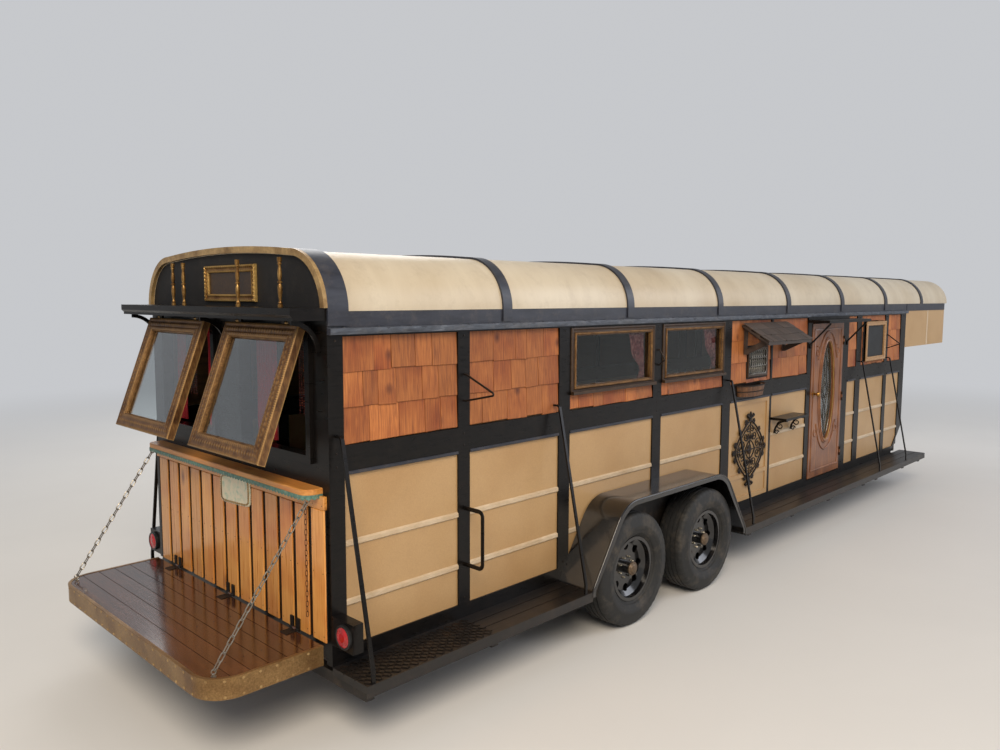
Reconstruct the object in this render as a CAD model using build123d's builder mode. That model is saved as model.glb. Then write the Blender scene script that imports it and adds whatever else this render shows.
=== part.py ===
from build123d import *
import os
from math import atan2, cos, degrees, pi, radians, sin, sqrt

os.makedirs("parts", exist_ok=True)

# A gooseneck stock trailer converted to a travelling wagon, in millimetres.
# +X points forward, +Y to the left, +Z up. The origin is on the ground, at the middle of the footprint.

# Bays from the rear: post width, width of the bay ahead of it, what fills it on the right and on the left
side_bays = [
    (90, 770, "shingle", "shingle"),
    (90, 790, "shingle", "shingle"),
    (110, 960, "window", "window"),
    (110, 915, "window", "window"),
    (130, 725, "hatch", "plain"),
    (35, 735, "plain", "plain"),
    (90, 770, "door", "plain"),
    (150, 230, "plain", "plain"),
    (130, 715, "sign", "plain"),
    (95, 420, "plain", "plain"),
]
front_post = 160

# Overall sizes
body_length = sum(post + bay for post, bay, right, left in side_bays) + front_post
body_width = 2000
nose_length = 1580
deck_length = 640
board_width = 290
overall_length = deck_length + body_length + nose_length
rear_x = deck_length - overall_length / 2
front_x = rear_x + body_length
nose_front_x = front_x + nose_length
half = body_width / 2
outer_y = half + board_width

# Levels above the ground
board_top = 381
board_thick = 38
sill_tall = 82
panel_bottom = board_top + sill_tall
floor_top = 490
floor_thick = 38
floor_bottom = floor_top - floor_thick
deck_top = 499
panel_top = 1358
shingle_bottom = 1498
upper_top = 2040
eave = 2164
nose_floor = 1640
counter_top = 1290

# Roof arch
shoulder_radius = 300
crown_rise = 31
roof_thick = 25

# Wall build-up and clearances
wall = 50
inner_y = half - wall
panel_thick = 15
panel_inset = 10
seat = 0.3

# Running gear
tyre_diameter = 782
tyre_width = 235
wheel_z = tyre_diameter / 2
rim_radius = 206
rim_width = 152
axle_spacing = 950
axles_middle = 2745
tyre_outer_gap = 30
wheel_y = outer_y - tyre_outer_gap - tyre_width / 2
spindle_radius = 24
bearing_gap = 0.3
fender_half = 1000
fender_shoulder = 660
fender_top = 890


def bx(distance):
    """Place along X of a point at this distance ahead of the body's rear face."""
    return rear_x + distance


def block(x0, x1, y0, y1, z0, z1, mode=Mode.ADD):
    """Add a box between two corners to the part being built."""
    with Locations(((x0 + x1) / 2, (y0 + y1) / 2, (z0 + z1) / 2)):
        Box(abs(x1 - x0), abs(y1 - y0), abs(z1 - z0), mode=mode)


def upright(y):
    """Sketch plane that stands along the wagon at this y: sketch x is X, sketch y is Z, normal is -Y."""
    return Plane.XZ.offset(-y)


def across(x):
    """Sketch plane that stands across the wagon at this x: sketch x is Y, sketch y is Z, normal is +X."""
    return Plane.YZ.offset(x)


def rod(start, direction, long, radius, mode=Mode.ADD):
    """Add or cut a round bar from this point along a direction."""
    with BuildSketch(Plane(start, z_dir=direction)) as ring:
        Circle(radius)
    extrude(ring.sketch, amount=long, mode=mode)


def bent_rod(points, radius, bend):
    """Add an eight-sided bar along straight runs with rounded bends."""
    first, second = Vector(*points[0]), Vector(*points[1])
    with BuildLine() as run:
        FilletPolyline(*points, radius=bend)
    with BuildSketch(Plane(first, z_dir=second - first)) as section:
        RegularPolygon(radius, 8)
    sweep(section.sketch, path=run.wires()[0])


def save(builder, label):
    """Name the finished piece and write it to its own file."""
    builder.part.label = label
    export_step(builder.part, f"parts/{label}.step")


# Each bay as (start, end, fill on the right, fill on the left), and each post as (start, end)
bays = []
posts = []
reach = 0
for post, bay, right, left in side_bays:
    posts.append((reach, reach + post))
    bays.append((reach + post, reach + post + bay, right, left))
    reach += post + bay
posts.append((reach, reach + front_post))


def bay_of(kind):
    """Start and end of the first bay on the right that is filled like this."""
    return next((start, end) for start, end, right, left in bays if right == kind)


def fills(side):
    """The bays of one side as (start, end, fill)."""
    return [(start, end, left if side > 0 else right) for start, end, right, left in bays]


wheels_x = {
    "rear": bx(axles_middle - axle_spacing / 2),
    "front": bx(axles_middle + axle_spacing / 2),
}
fender_rear = axles_middle - fender_half
fender_front = axles_middle + fender_half

# Chassis: crossmembers, two long rails and an outrigger under the running board at each post
chassis_bottom = 352
rail_y = 560
rail_wide = 50
cross_wide = 50
cross_tall = 80
cross_count = 14
outrigger_tall = 60
outrigger_short = 40
riser_deep = 120
riser_gap = 5
with BuildPart() as chassis_frame:
    cross_pitch = (body_length - 2 * wall - cross_wide) / (cross_count - 1)
    for k in range(cross_count):
        x0 = bx(wall + k * cross_pitch)
        block(x0, x0 + cross_wide, -inner_y, inner_y, floor_bottom - cross_tall, floor_bottom)
    for side in (-1, 1):
        y0 = side * (rail_y + rail_wide / 2) - rail_wide / 2
        block(bx(0), front_x + riser_gap + riser_deep, y0, y0 + rail_wide, chassis_bottom, floor_bottom)
        for start, end in posts:
            at = bx((start + end) / 2)
            if fender_rear - cross_wide < (start + end) / 2 < fender_front + cross_wide:
                continue
            block(
                at - cross_wide / 2,
                at + cross_wide / 2,
                side * rail_y,
                side * (outer_y - outrigger_short),
                board_top - board_thick - outrigger_tall,
                board_top - board_thick,
            )
            block(
                at - cross_wide / 2,
                at + cross_wide / 2,
                side * rail_y,
                side * (rail_y + rail_wide),
                board_top - board_thick - outrigger_tall,
                chassis_bottom,
            )
save(chassis_frame, "chassis_frame")

# Floor boards between the side frames
with BuildPart() as floor:
    block(bx(wall), bx(body_length - wall), -inner_y, inner_y, floor_bottom, floor_top)
save(floor, "floor")

# Torsion axles: a square tube under the rails, a trailing arm and a spindle at each end
axle_tube = 90
axle_out = 3
arm_length = 150
arm_rise = wheel_z - (chassis_bottom - axle_tube / 2)
arm_reach = sqrt(arm_length**2 - arm_rise**2)
arm_thick = 16
arm_wide = 64
spindle_long = 50
with BuildPart() as axles:
    for wheel_x in wheels_x.values():
        tube_x = wheel_x + arm_reach
        tube_z = chassis_bottom - axle_tube / 2
        block(
            tube_x - axle_tube / 2,
            tube_x + axle_tube / 2,
            -half - axle_out,
            half + axle_out,
            chassis_bottom - axle_tube,
            chassis_bottom,
        )
        for side in (-1, 1):
            near = side * (half + axle_out)
            with BuildSketch(upright(max(near, near + side * arm_thick))):
                with Locations(((tube_x + wheel_x) / 2, (tube_z + wheel_z) / 2)):
                    SlotCenterToCenter(
                        arm_length, arm_wide, rotation=degrees(atan2(wheel_z - tube_z, wheel_x - tube_x))
                    )
            extrude(amount=arm_thick)
            rod((wheel_x, near, wheel_z), (0, side, 0), wheel_y + spindle_long - half - axle_out, spindle_radius)
save(axles, "axles")

# Wheels: rim barrel with flanges, disc with hand holes, hub with brake drum and grease cap
hub_gap = 30
disc_out = 12
disc_thick = 9
disc_dish = 26
drum_radius = 152
drum_deep = 84
hub_radius = 60
cap_radius = 42
cap_out = 92
flange_radius = 221
flange_thick = 8
barrel_thick = 7
hole_circle = 145
hole_size = 27
hole_count = 8


def wheel(side, at):
    """Rim, disc and hub turned about the spindle; sketch x is the radius, sketch y points outboard."""
    rim = rim_width / 2
    inner = half + hub_gap - wheel_y
    barrel = rim_radius - barrel_thick
    with BuildPart() as made:
        with BuildSketch(Plane((at, side * wheel_y, wheel_z), x_dir=(1, 0, 0), z_dir=(0, 0, side))):
            with BuildLine():
                Polyline(
                    (flange_radius, rim),
                    (flange_radius, rim + flange_thick),
                    (barrel, rim + flange_thick),
                    (barrel, disc_out + disc_thick + disc_dish),
                    (barrel - 37, disc_out + disc_thick),
                    (cap_radius, disc_out + disc_thick),
                    (cap_radius, cap_out - 10),
                    (cap_radius - 10, cap_out),
                    (0, cap_out),
                    (0, spindle_long + 2),
                    (spindle_radius + bearing_gap, spindle_long + 2),
                    (spindle_radius + bearing_gap, inner),
                    (drum_radius, inner),
                    (drum_radius, inner + drum_deep),
                    (hub_radius, inner + drum_deep),
                    (hub_radius, disc_out),
                    (barrel - 37, disc_out),
                    (barrel, disc_out + disc_dish - disc_thick),
                    (barrel, -rim - flange_thick),
                    (flange_radius, -rim - flange_thick),
                    (flange_radius, -rim),
                    (rim_radius, -rim),
                    (rim_radius, rim),
                    close=True,
                )
            make_face()
        revolve(axis=Axis((at, 0, wheel_z), (0, 1, 0)))
        with BuildSketch(Plane((at, side * (wheel_y - 20), wheel_z), x_dir=(1, 0, 0), z_dir=(0, side, 0))):
            with PolarLocations(hole_circle, hole_count):
                Circle(hole_size)
        extrude(amount=60, mode=Mode.SUBTRACT)
    return made


# Half section of the tyre: distance from its middle plane and radius, from the bead to the tread
tyre_half_section = [
    (rim_width / 2 - seat, flange_radius + 4),
    (tyre_width / 2 - 6, flange_radius + 40),
    (tyre_width / 2, flange_radius + 85),
    (tyre_width / 2 - 14, tyre_diameter / 2 - 30),
    (tyre_width / 2 - 38, tyre_diameter / 2),
]
tyre_sides = 32


def tyre(side, at):
    """Tyre lofted through rings from one bead to the other, with a bore seated on the rim."""
    rings = [(-y, r) for y, r in tyre_half_section] + [(y, r) for y, r in reversed(tyre_half_section)]
    with BuildPart() as made:
        for y, r in rings:
            with BuildSketch(Plane((at, side * wheel_y + y, wheel_z), x_dir=(1, 0, 0), z_dir=(0, 1, 0))):
                RegularPolygon(r, tyre_sides)
        loft(ruled=True)
        bead = rim_width / 2
        with BuildSketch(Plane((at, side * wheel_y - bead, wheel_z), x_dir=(1, 0, 0), z_dir=(0, 1, 0))):
            RegularPolygon(rim_radius + seat, tyre_sides, major_radius=False)
        extrude(amount=2 * bead, mode=Mode.SUBTRACT)
    return made


for side_name, side in (("right", -1), ("left", 1)):
    for end_name, wheel_x in wheels_x.items():
        save(wheel(side, wheel_x), f"wheel_{side_name}_{end_name}")
        save(tyre(side, wheel_x), f"tyre_{side_name}_{end_name}")

# Tandem fenders: folded sheet with a skirt along the outer edge
fender_sheet = 4
fender_bend = 250
fender_foot_bend = 40
skirt_deep = 32


def fender_band(depth):
    """Outline of the fender, of this depth inwards, in the current line builder."""
    middle = bx(axles_middle)
    low = board_top - board_thick
    for inset in (0, depth):
        FilletPolyline(
            (middle - fender_half + inset, low),
            (middle - fender_half + inset, board_top),
            (middle - fender_shoulder + inset, fender_top - inset),
            (middle + fender_shoulder - inset, fender_top - inset),
            (middle + fender_half - inset, board_top),
            (middle + fender_half - inset, low),
            radius=[fender_foot_bend, fender_bend - inset, fender_bend - inset, fender_foot_bend],
        )
    for side in (-1, 1):
        Line((middle + side * fender_half, low), (middle + side * (fender_half - depth), low))


with BuildPart() as fenders:
    for side in (-1, 1):
        with BuildSketch(upright(outer_y if side > 0 else -half - seat)):
            with BuildLine():
                fender_band(fender_sheet)
            make_face()
        extrude(amount=board_width - seat)
        with BuildSketch(upright(outer_y if side > 0 else -outer_y + fender_sheet)):
            with BuildLine():
                fender_band(skirt_deep)
            make_face()
        extrude(amount=fender_sheet)
save(fenders, "fenders")

# Running boards: planks with a steel edge, behind and ahead of each fender
edge_thick = 8
edge_tall = 60
board_groove = 6
board_count = 3
with BuildPart() as running_boards:
    for side in (-1, 1):
        for start, end in ((0, fender_rear), (fender_front, body_length)):
            block(
                bx(start), bx(end), side * half, side * (outer_y - edge_thick), board_top - board_thick, board_top
            )
            block(
                bx(start),
                bx(end),
                side * (outer_y - edge_thick),
                side * outer_y,
                board_top - edge_tall,
                board_top,
            )
            plank = (board_width - edge_thick) / board_count
            for k in range(1, board_count):
                y = side * (half + k * plank)
                block(
                    bx(start),
                    bx(end),
                    y - board_groove / 2,
                    y + board_groove / 2,
                    board_top - board_groove,
                    board_top,
                    mode=Mode.SUBTRACT,
                )
save(running_boards, "running_boards")

# Side frames: posts, bottom rail, middle band and top rail in one ladder
chin_length = 320
chin_height = 319
door_sill = 50
door_head = 1988


def chin_bay(start, end):
    """Outline of the foremost lower bay, whose lower front corner follows the chin."""
    slope = chin_height / chin_length
    foot = front_x - chin_length + sill_tall * (1 + slope - sqrt(1 + slope**2)) / slope
    return [
        (bx(start), panel_bottom),
        (foot, panel_bottom),
        (bx(end), panel_bottom + (bx(end) - foot) * slope),
        (bx(end), panel_top),
        (bx(start), panel_top),
    ]


def lower_bay(start, end, mode=Mode.ADD):
    """Face of a lower bay, square or along the chin, in the current sketch."""
    if bx(end) < front_x - chin_length:
        with Locations((bx((start + end) / 2), (panel_bottom + panel_top) / 2)):
            Rectangle(end - start, panel_top - panel_bottom, mode=mode)
    else:
        with BuildLine() as edge:
            Polyline(*chin_bay(start, end), close=True)
        make_face(edge.edges(), mode=mode)


def side_frame(side):
    """Ladder frame with the chin cut away at its lower front corner."""
    with BuildPart() as made:
        with BuildSketch(upright(half if side > 0 else -inner_y)):
            with BuildLine():
                Polyline(
                    (bx(0), board_top),
                    (front_x - chin_length, board_top),
                    (front_x, board_top + chin_height),
                    (front_x, eave),
                    (bx(0), eave),
                    close=True,
                )
            make_face()
            for start, end, fill in fills(side):
                middle = bx((start + end) / 2)
                if fill == "door":
                    with Locations((middle, (board_top + door_sill + door_head) / 2)):
                        Rectangle(end - start, door_head - board_top - door_sill, mode=Mode.SUBTRACT)
                    continue
                lower_bay(start, end, mode=Mode.SUBTRACT)
                with Locations((middle, (shingle_bottom + upper_top) / 2)):
                    Rectangle(end - start, upper_top - shingle_bottom, mode=Mode.SUBTRACT)
        extrude(amount=wall)
    return made


save(side_frame(-1), "side_frame_right")
save(side_frame(1), "side_frame_left")

# Lower panels: one sheet in each lower bay with two pressed ribs; the hatch has a raised border and one rib
rib_levels = (995, 690)
rib_tall = 36
rib_flat = 20
hatch_border = 45
hatch_gap = 4


def lower_panel(side, start, end):
    """Sheet that fills a lower bay, with its ribs pressed outwards."""
    outer = side * (half - panel_inset)
    with BuildSketch(upright(max(outer, outer - side * panel_thick))) as sheet:
        lower_bay(start, end)
    extrude(sheet.sketch, amount=panel_thick)
    for level in rib_levels:
        with BuildSketch(across(bx(start))) as rib:
            with BuildLine():
                Polyline(
                    (outer, level - rib_tall / 2),
                    (side * half, level - rib_flat / 2),
                    (side * half, level + rib_flat / 2),
                    (outer, level + rib_tall / 2),
                    close=True,
                )
            make_face()
        extrude(rib.sketch, amount=end - start)


with BuildPart() as lower_panels:
    for side in (-1, 1):
        for start, end, fill in fills(side):
            if fill not in ("door", "hatch"):
                lower_panel(side, start, end)
save(lower_panels, "lower_panels")

hatch_start, hatch_end = bay_of("hatch")
with BuildPart() as side_hatch:
    with BuildSketch(upright(-half + panel_inset + panel_thick)):
        lower_bay(hatch_start, hatch_end)
    extrude(amount=panel_thick)
    with BuildSketch(upright(-half + panel_inset)):
        with Locations((bx((hatch_start + hatch_end) / 2), (panel_bottom + panel_top) / 2)):
            Rectangle(hatch_end - hatch_start - 2 * hatch_gap, panel_top - panel_bottom - 2 * hatch_gap)
            Rectangle(
                hatch_end - hatch_start - 2 * hatch_border,
                panel_top - panel_bottom - 2 * hatch_border,
                mode=Mode.SUBTRACT,
            )
        with Locations((bx((hatch_start + hatch_end) / 2), rib_levels[1])):
            Rectangle(hatch_end - hatch_start - 2 * hatch_gap, rib_tall)
    extrude(amount=panel_inset)
save(side_hatch, "side_hatch")

# Shingles: a backing board with overlapping courses, each thin at its top and thick at its butt
course_count = 3
course_thin = 4
course_thick = 16
backing = 12
window_sill = 1600
window_head = 1985


def shingle_field(side, start, end, low, high, courses):
    """Backing board and its courses, in the part being built."""
    face = side * (half - course_thick)
    block(bx(start), bx(end), face - side * backing, face, low, high)
    tall = (high - low) / courses
    for k in range(courses):
        z0 = low + k * tall
        with BuildSketch(across(bx(start))) as course:
            with BuildLine():
                Polyline(
                    (face, z0), (side * half, z0), (face + side * course_thin, z0 + tall), (face, z0 + tall), close=True
                )
            make_face()
        extrude(course.sketch, amount=end - start)


# Small ironwork window over the hatch, and the place of the framed board ahead of the door
small_wide = 313
small_sill = 1570
small_head = 1780
small_middle = (hatch_start + hatch_end) / 2 + 112
small_margin = 40
sign_edge = 60
sign_low = 1540
sign_high = 1976
sign_start, sign_end = bay_of("sign")
# Flat plates among the shingles on the right, as (start, end, low, high) by the bay's fill
plates = {
    "hatch": (
        small_middle - small_wide / 2 - small_margin,
        small_middle + small_wide / 2 + small_margin,
        small_sill - small_margin,
        small_head + small_margin,
    ),
    "sign": (sign_start + sign_edge, sign_end - sign_edge, sign_low, sign_high),
}


def shingle_surround(side, start, end, plate):
    """Shingle fields on the four sides of a flat plate in a bay."""
    left, right, low, high = plate
    shingle_field(side, start, left, shingle_bottom, upper_top, course_count)
    shingle_field(side, right, end, shingle_bottom, upper_top, course_count)
    shingle_field(side, left, right, shingle_bottom, low, 1)
    shingle_field(side, left, right, high, upper_top, 1)


with BuildPart() as shingle_panels:
    for side in (-1, 1):
        for start, end, fill in fills(side):
            if fill in ("shingle", "plain"):
                shingle_field(side, start, end, shingle_bottom, upper_top, course_count)
            if fill == "window":
                shingle_field(side, start, end, shingle_bottom, window_sill, 1)
            if fill in plates:
                shingle_surround(side, start, end, plates[fill])
save(shingle_panels, "shingle_panels")

with BuildPart() as upper_panels:
    for start, end, low, high in plates.values():
        with BuildSketch(upright(-half + panel_inset + panel_thick)):
            with Locations((bx((start + end) / 2), (low + high) / 2)):
                Rectangle(end - start, high - low)
            with Locations((bx(small_middle), (small_sill + small_head) / 2)):
                Rectangle(small_wide, small_head - small_sill, mode=Mode.SUBTRACT)
        extrude(amount=panel_thick)
save(upper_panels, "upper_panels")

# Side windows: gilt frames with a raised bead and a sill ledge, and their panes
jamb = 55
frame_deep = 40
bead_wide = 18
bead_out = 8
pane_thick = 5
pane_edge = 10
sill_out = 30
sill_thick = 22


def window_pane(side, start, end, mode=Mode.ADD):
    """Pane of a side window, or the groove for it in the frame."""
    middle = side * (half - frame_deep / 2)
    block(
        bx(start + jamb - pane_edge),
        bx(end - jamb + pane_edge),
        middle - pane_thick / 2,
        middle + pane_thick / 2,
        window_sill + jamb - pane_edge,
        window_head + pane_edge,
        mode=mode,
    )


with BuildPart() as side_windows:
    for side in (-1, 1):
        for start, end, fill in fills(side):
            if fill != "window":
                continue
            middle = bx((start + end) / 2)
            light_z = (window_sill + jamb + window_head) / 2
            light_wide = end - start - 2 * jamb
            light_tall = window_head - window_sill - jamb
            with BuildSketch(upright(half if side > 0 else -half + frame_deep)):
                with Locations((middle, (window_sill + upper_top) / 2)):
                    Rectangle(end - start, upper_top - window_sill)
                with Locations((middle, light_z)):
                    Rectangle(light_wide, light_tall, mode=Mode.SUBTRACT)
            extrude(amount=frame_deep)
            with BuildSketch(upright(half + bead_out if side > 0 else -half)):
                with Locations((middle, light_z)):
                    Rectangle(light_wide + 2 * bead_wide, light_tall + 2 * bead_wide)
                    Rectangle(light_wide, light_tall, mode=Mode.SUBTRACT)
            extrude(amount=bead_out)
            window_pane(side, start, end, mode=Mode.SUBTRACT)
            block(bx(start), bx(end), side * half, side * (half + sill_out), window_sill, window_sill + sill_thick)
save(side_windows, "side_windows")

with BuildPart() as side_glass:
    for side in (-1, 1):
        for start, end, fill in fills(side):
            if fill == "window":
                window_pane(side, start, end)
    block(
        bx(small_middle - small_wide / 2),
        bx(small_middle + small_wide / 2),
        -half + panel_inset + pane_thick,
        -half + panel_inset + 2 * pane_thick,
        small_sill,
        small_head,
    )
save(side_glass, "side_glass")


# Roof: an arch of two shoulder arcs and a crown arc, carried along the whole length
def arch(grow):
    """Points on the left half of the roof arch, moved outwards by this much: eave, bend, shoulder, crown."""
    shoulder = half - shoulder_radius
    radius = shoulder_radius + grow
    bend = radius * sqrt(0.5)
    return (
        (half + grow, eave),
        (shoulder + bend, eave + bend),
        (shoulder, eave + radius),
        (0, eave + radius + crown_rise),
    )


def arch_lines(grow):
    """Draw the roof arch as three arcs in the current line builder."""
    foot, bend, top, middle = arch(grow)
    ThreePointArc(foot, bend, top)
    ThreePointArc(top, middle, (-top[0], top[1]))
    ThreePointArc((-top[0], top[1]), (-bend[0], bend[1]), (-foot[0], foot[1]))


def arch_band(inner_grow, outer_grow, leg=0):
    """Closed band between two arches, with straight legs of this length below the eaves."""
    arch_lines(outer_grow)
    arch_lines(inner_grow)
    for side in (-1, 1):
        outer = side * (half + outer_grow)
        inner = side * (half + inner_grow)
        if leg:
            Polyline((outer, eave), (outer, eave - leg), (inner, eave - leg), (inner, eave))
        else:
            Line((outer, eave), (inner, eave))


with BuildPart() as roof_shell:
    with BuildSketch(across(bx(0))):
        with BuildLine():
            arch_band(-roof_thick, 0)
        make_face()
    extrude(amount=body_length + nose_length)
save(roof_shell, "roof_shell")

# Roof bows: dark ribs over the roof with short legs on the body, the rear one wider
bow_pitch = 1250
bow_wide = 75
bow_thick = 12
bow_leg = 70
end_bow_wide = 120
roof_length = body_length + nose_length
bow_starts = [(0, end_bow_wide)]
bow_starts += [
    (k * bow_pitch - bow_wide / 2, bow_wide)
    for k in range(1, 40)
    if k * bow_pitch + bow_wide < roof_length - end_bow_wide
]
with BuildPart() as roof_bows:
    for start, wide in bow_starts:
        with BuildSketch(across(bx(start))):
            with BuildLine():
                arch_band(seat, seat + bow_thick, bow_leg if start < body_length else 0)
            make_face()
        extrude(amount=wide)
save(roof_bows, "roof_bows")

# Nose: hollow bunk over the towing vehicle, open to the cabin
nose_corner = 110
nose_wall = 30
nose_skin = 25


def nose_outline(inset):
    """Plan of the nose with its rounded front corners, moved inwards by this much."""
    FilletPolyline(
        (front_x, -half + inset),
        (nose_front_x - inset, -half + inset),
        (nose_front_x - inset, half - inset),
        (front_x, half - inset),
        radius=nose_corner - inset,
    )
    Line((front_x, half - inset), (front_x, -half + inset))


with BuildPart() as nose_shell:
    with BuildSketch(Plane.XY.offset(nose_floor)):
        with BuildLine():
            nose_outline(0)
        make_face()
    extrude(amount=eave - nose_floor)
    with BuildSketch(Plane.XY.offset(nose_floor + nose_skin)):
        with BuildLine():
            nose_outline(nose_wall)
        make_face()
    extrude(amount=eave - nose_floor - nose_skin, mode=Mode.SUBTRACT)
save(nose_shell, "nose_shell")

# Front wall under the nose
with BuildPart() as front_wall:
    block(front_x - wall, front_x, -inner_y, inner_y, floor_bottom, nose_floor + nose_skin)
save(front_wall, "front_wall")

# Rear wall: posts and header round two window openings, with a casing round each
opening_half = 325
opening_y = 500
opening_sill = 1440
opening_head = 2060
casing_wide = 40
casing_thick = 20
with BuildPart() as rear_wall:
    openings = [(s * opening_y, (opening_sill + opening_head) / 2) for s in (-1, 1)]
    with BuildSketch(across(bx(0))):
        with Locations((0, (floor_bottom + eave) / 2)):
            Rectangle(2 * inner_y, eave - floor_bottom)
        with Locations(*openings):
            Rectangle(2 * opening_half, opening_head - opening_sill, mode=Mode.SUBTRACT)
    extrude(amount=wall)
    with BuildSketch(across(bx(0) - casing_thick)):
        with Locations(*openings):
            Rectangle(2 * (opening_half + casing_wide), opening_head - opening_sill + 2 * casing_wide)
        with Locations(*openings):
            Rectangle(2 * opening_half, opening_head - opening_sill, mode=Mode.SUBTRACT)
    extrude(amount=casing_thick)
save(rear_wall, "rear_wall")

# Boards that close the arch at the rear and at the front of the nose
gable_thick = 30


def gable(start):
    """Arched board between the roof's two inner faces."""
    with BuildPart() as made:
        with BuildSketch(across(start)):
            with BuildLine():
                arch_lines(-roof_thick - seat)
                foot = half - roof_thick - seat
                Line((-foot, eave), (foot, eave))
            make_face()
        extrude(amount=gable_thick)
    return made


save(gable(bx(0)), "gable_board")
save(gable(nose_front_x - gable_thick), "nose_gable")

# Arched trim on the rear gable, standing on the canopy
canopy_out = 200
canopy_low = 2120
canopy_high = 2180
trim_wide = 34
trim_thick = 22
with BuildPart() as arch_trim:
    with BuildSketch(across(bx(0) - trim_thick)):
        with BuildLine():
            arch_band(bow_thick - trim_wide, bow_thick)
        make_face()
        with Locations((0, canopy_high - body_width / 2)):
            Rectangle(2 * body_width, body_width, mode=Mode.SUBTRACT)
    extrude(amount=trim_thick)
save(arch_trim, "arch_trim")

# Canopy board over the rear windows, with a small cornice, on quarter-arc brackets
bracket_reach = 160
bracket_bar = 22
bracket_thick = 12
bracket_edge = 60
cornice = 14
with BuildPart() as canopy:
    with BuildSketch(upright(half)):
        with BuildLine():
            Polyline(
                (bx(0), canopy_low),
                (bx(-canopy_out + cornice), canopy_low),
                (bx(-canopy_out + cornice), canopy_low + cornice),
                (bx(-canopy_out), canopy_low + 2 * cornice),
                (bx(-canopy_out), canopy_high),
                (bx(0), canopy_high),
                close=True,
            )
        make_face()
    extrude(amount=body_width)
    for y in (-half + bracket_edge, 0, half - bracket_edge):
        with BuildSketch(upright(y + bracket_thick / 2)):
            with BuildLine():
                arc_x, arc_z = bx(-bracket_reach), canopy_low - bracket_reach
                CenterArc((arc_x, arc_z), bracket_reach, 0, 90)
                Line((arc_x, canopy_low), (arc_x, canopy_low - bracket_bar))
                CenterArc((arc_x, arc_z), bracket_reach - bracket_bar, 0, 90)
                Line((bx(-bracket_bar), arc_z), (bx(0), arc_z))
            make_face()
        extrude(amount=bracket_thick)
save(canopy, "canopy")

# Gable ornaments: a moulded picture frame and turned spindles standing on the canopy
ornament_left = 225
ornament_right = -350
ornament_low_gap = 25
ornament_top_gap = 88
ornament_bar = 40
ornament_step = 14
ornament_thick = 14
spindle_radius_max = 13
spindle_x = bx(-60)
spindle_ys = (547, 405, -250, -683)
# Turned profile: share of the height and share of the largest radius
spindle_turns = [
    (0.00, 1.00),
    (0.06, 1.00),
    (0.08, 0.55),
    (0.12, 0.85),
    (0.16, 0.55),
    (0.34, 0.80),
    (0.50, 1.00),
    (0.62, 0.60),
    (0.66, 0.90),
    (0.70, 0.50),
    (0.90, 0.70),
    (0.94, 1.00),
    (1.00, 0.80),
]
with BuildPart() as gable_ornament:
    z0 = canopy_high + ornament_low_gap
    z1 = eave + shoulder_radius + crown_rise - ornament_top_gap
    wide = ornament_left - ornament_right
    for step, thick in ((0, ornament_thick), (ornament_step, ornament_thick + 10)):
        with BuildSketch(across(bx(0) - thick)):
            with Locations(((ornament_left + ornament_right) / 2, (z0 + z1) / 2)):
                Rectangle(wide - 2 * step, z1 - z0 - 2 * step)
                Rectangle(
                    wide - 2 * ornament_bar + step, z1 - z0 - 2 * ornament_bar + step, mode=Mode.SUBTRACT
                )
        extrude(amount=thick)
    spindle_tall = eave + shoulder_radius - trim_wide - canopy_high
    for y in spindle_ys:
        with BuildSketch(Plane((spindle_x, y, canopy_high), x_dir=(1, 0, 0), z_dir=(0, -1, 0))):
            with BuildLine():
                turned = [(share * spindle_radius_max, rise * spindle_tall) for rise, share in spindle_turns]
                Polyline((0, 0), *turned, (0, spindle_tall), close=True)
            make_face()
        revolve(axis=Axis((spindle_x, y, 0), (0, 0, 1)))
save(gable_ornament, "gable_ornament")

# Slat wall below the windows: boards with gaps on a backing, a top rail and a bottom strip
slat_thick = 22
slat_backing = 6
slat_gap = 14
slat_count = 13
slat_low = 505
slat_edge = 22
slat_half = half - slat_edge
top_rail_tall = 70
counter_thick = 38
with BuildPart() as slat_wall:
    slat_high = counter_top - counter_thick
    pitch = (2 * slat_half + slat_gap) / slat_count
    for k in range(slat_count):
        y0 = -slat_half + k * pitch
        block(bx(-slat_thick), bx(-slat_backing), y0, y0 + pitch - slat_gap, slat_low, slat_high - top_rail_tall)
    block(bx(-slat_thick), bx(-slat_backing), -slat_half, slat_half, slat_high - top_rail_tall, slat_high)
    block(bx(-slat_backing), bx(0), -slat_half, slat_half, slat_low, slat_high)
save(slat_wall, "slat_wall")

counter_out = 100
counter_corner = 60
counter_edge = 60
with BuildPart() as counter:
    side_y = half - counter_edge
    with BuildSketch(Plane.XY.offset(counter_top - counter_thick)):
        with BuildLine():
            FilletPolyline(
                (bx(0), -side_y),
                (bx(-counter_out), -side_y),
                (bx(-counter_out), side_y),
                (bx(0), side_y),
                radius=counter_corner,
            )
            Line((bx(0), side_y), (bx(0), -side_y))
        make_face()
    extrude(amount=counter_thick)
    top_edges = counter.edges().filter_by(Plane.XY).group_by(Axis.Z)[-1]
    chamfer(top_edges.filter_by(lambda edge: edge.center().X < bx(-1)), 4)
save(counter, "counter")

# Hinges: three knuckles on a pin, the middle one on the moving piece
knuckle_radius = 7
knuckle_long = 30
knuckle_gap = 0.5
pin_radius = 3
leaf_thick = 3
leaf_long = 60


def middle_knuckle(point, direction):
    """Knuckle of the moving piece, bored for the pin."""
    axis = Vector(*direction)
    start = Vector(*point) - axis * (knuckle_long / 2 - knuckle_gap)
    rod(start, direction, knuckle_long - 2 * knuckle_gap, knuckle_radius)
    rod(start - axis, direction, knuckle_long + 2, pin_radius + seat, mode=Mode.SUBTRACT)


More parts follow.
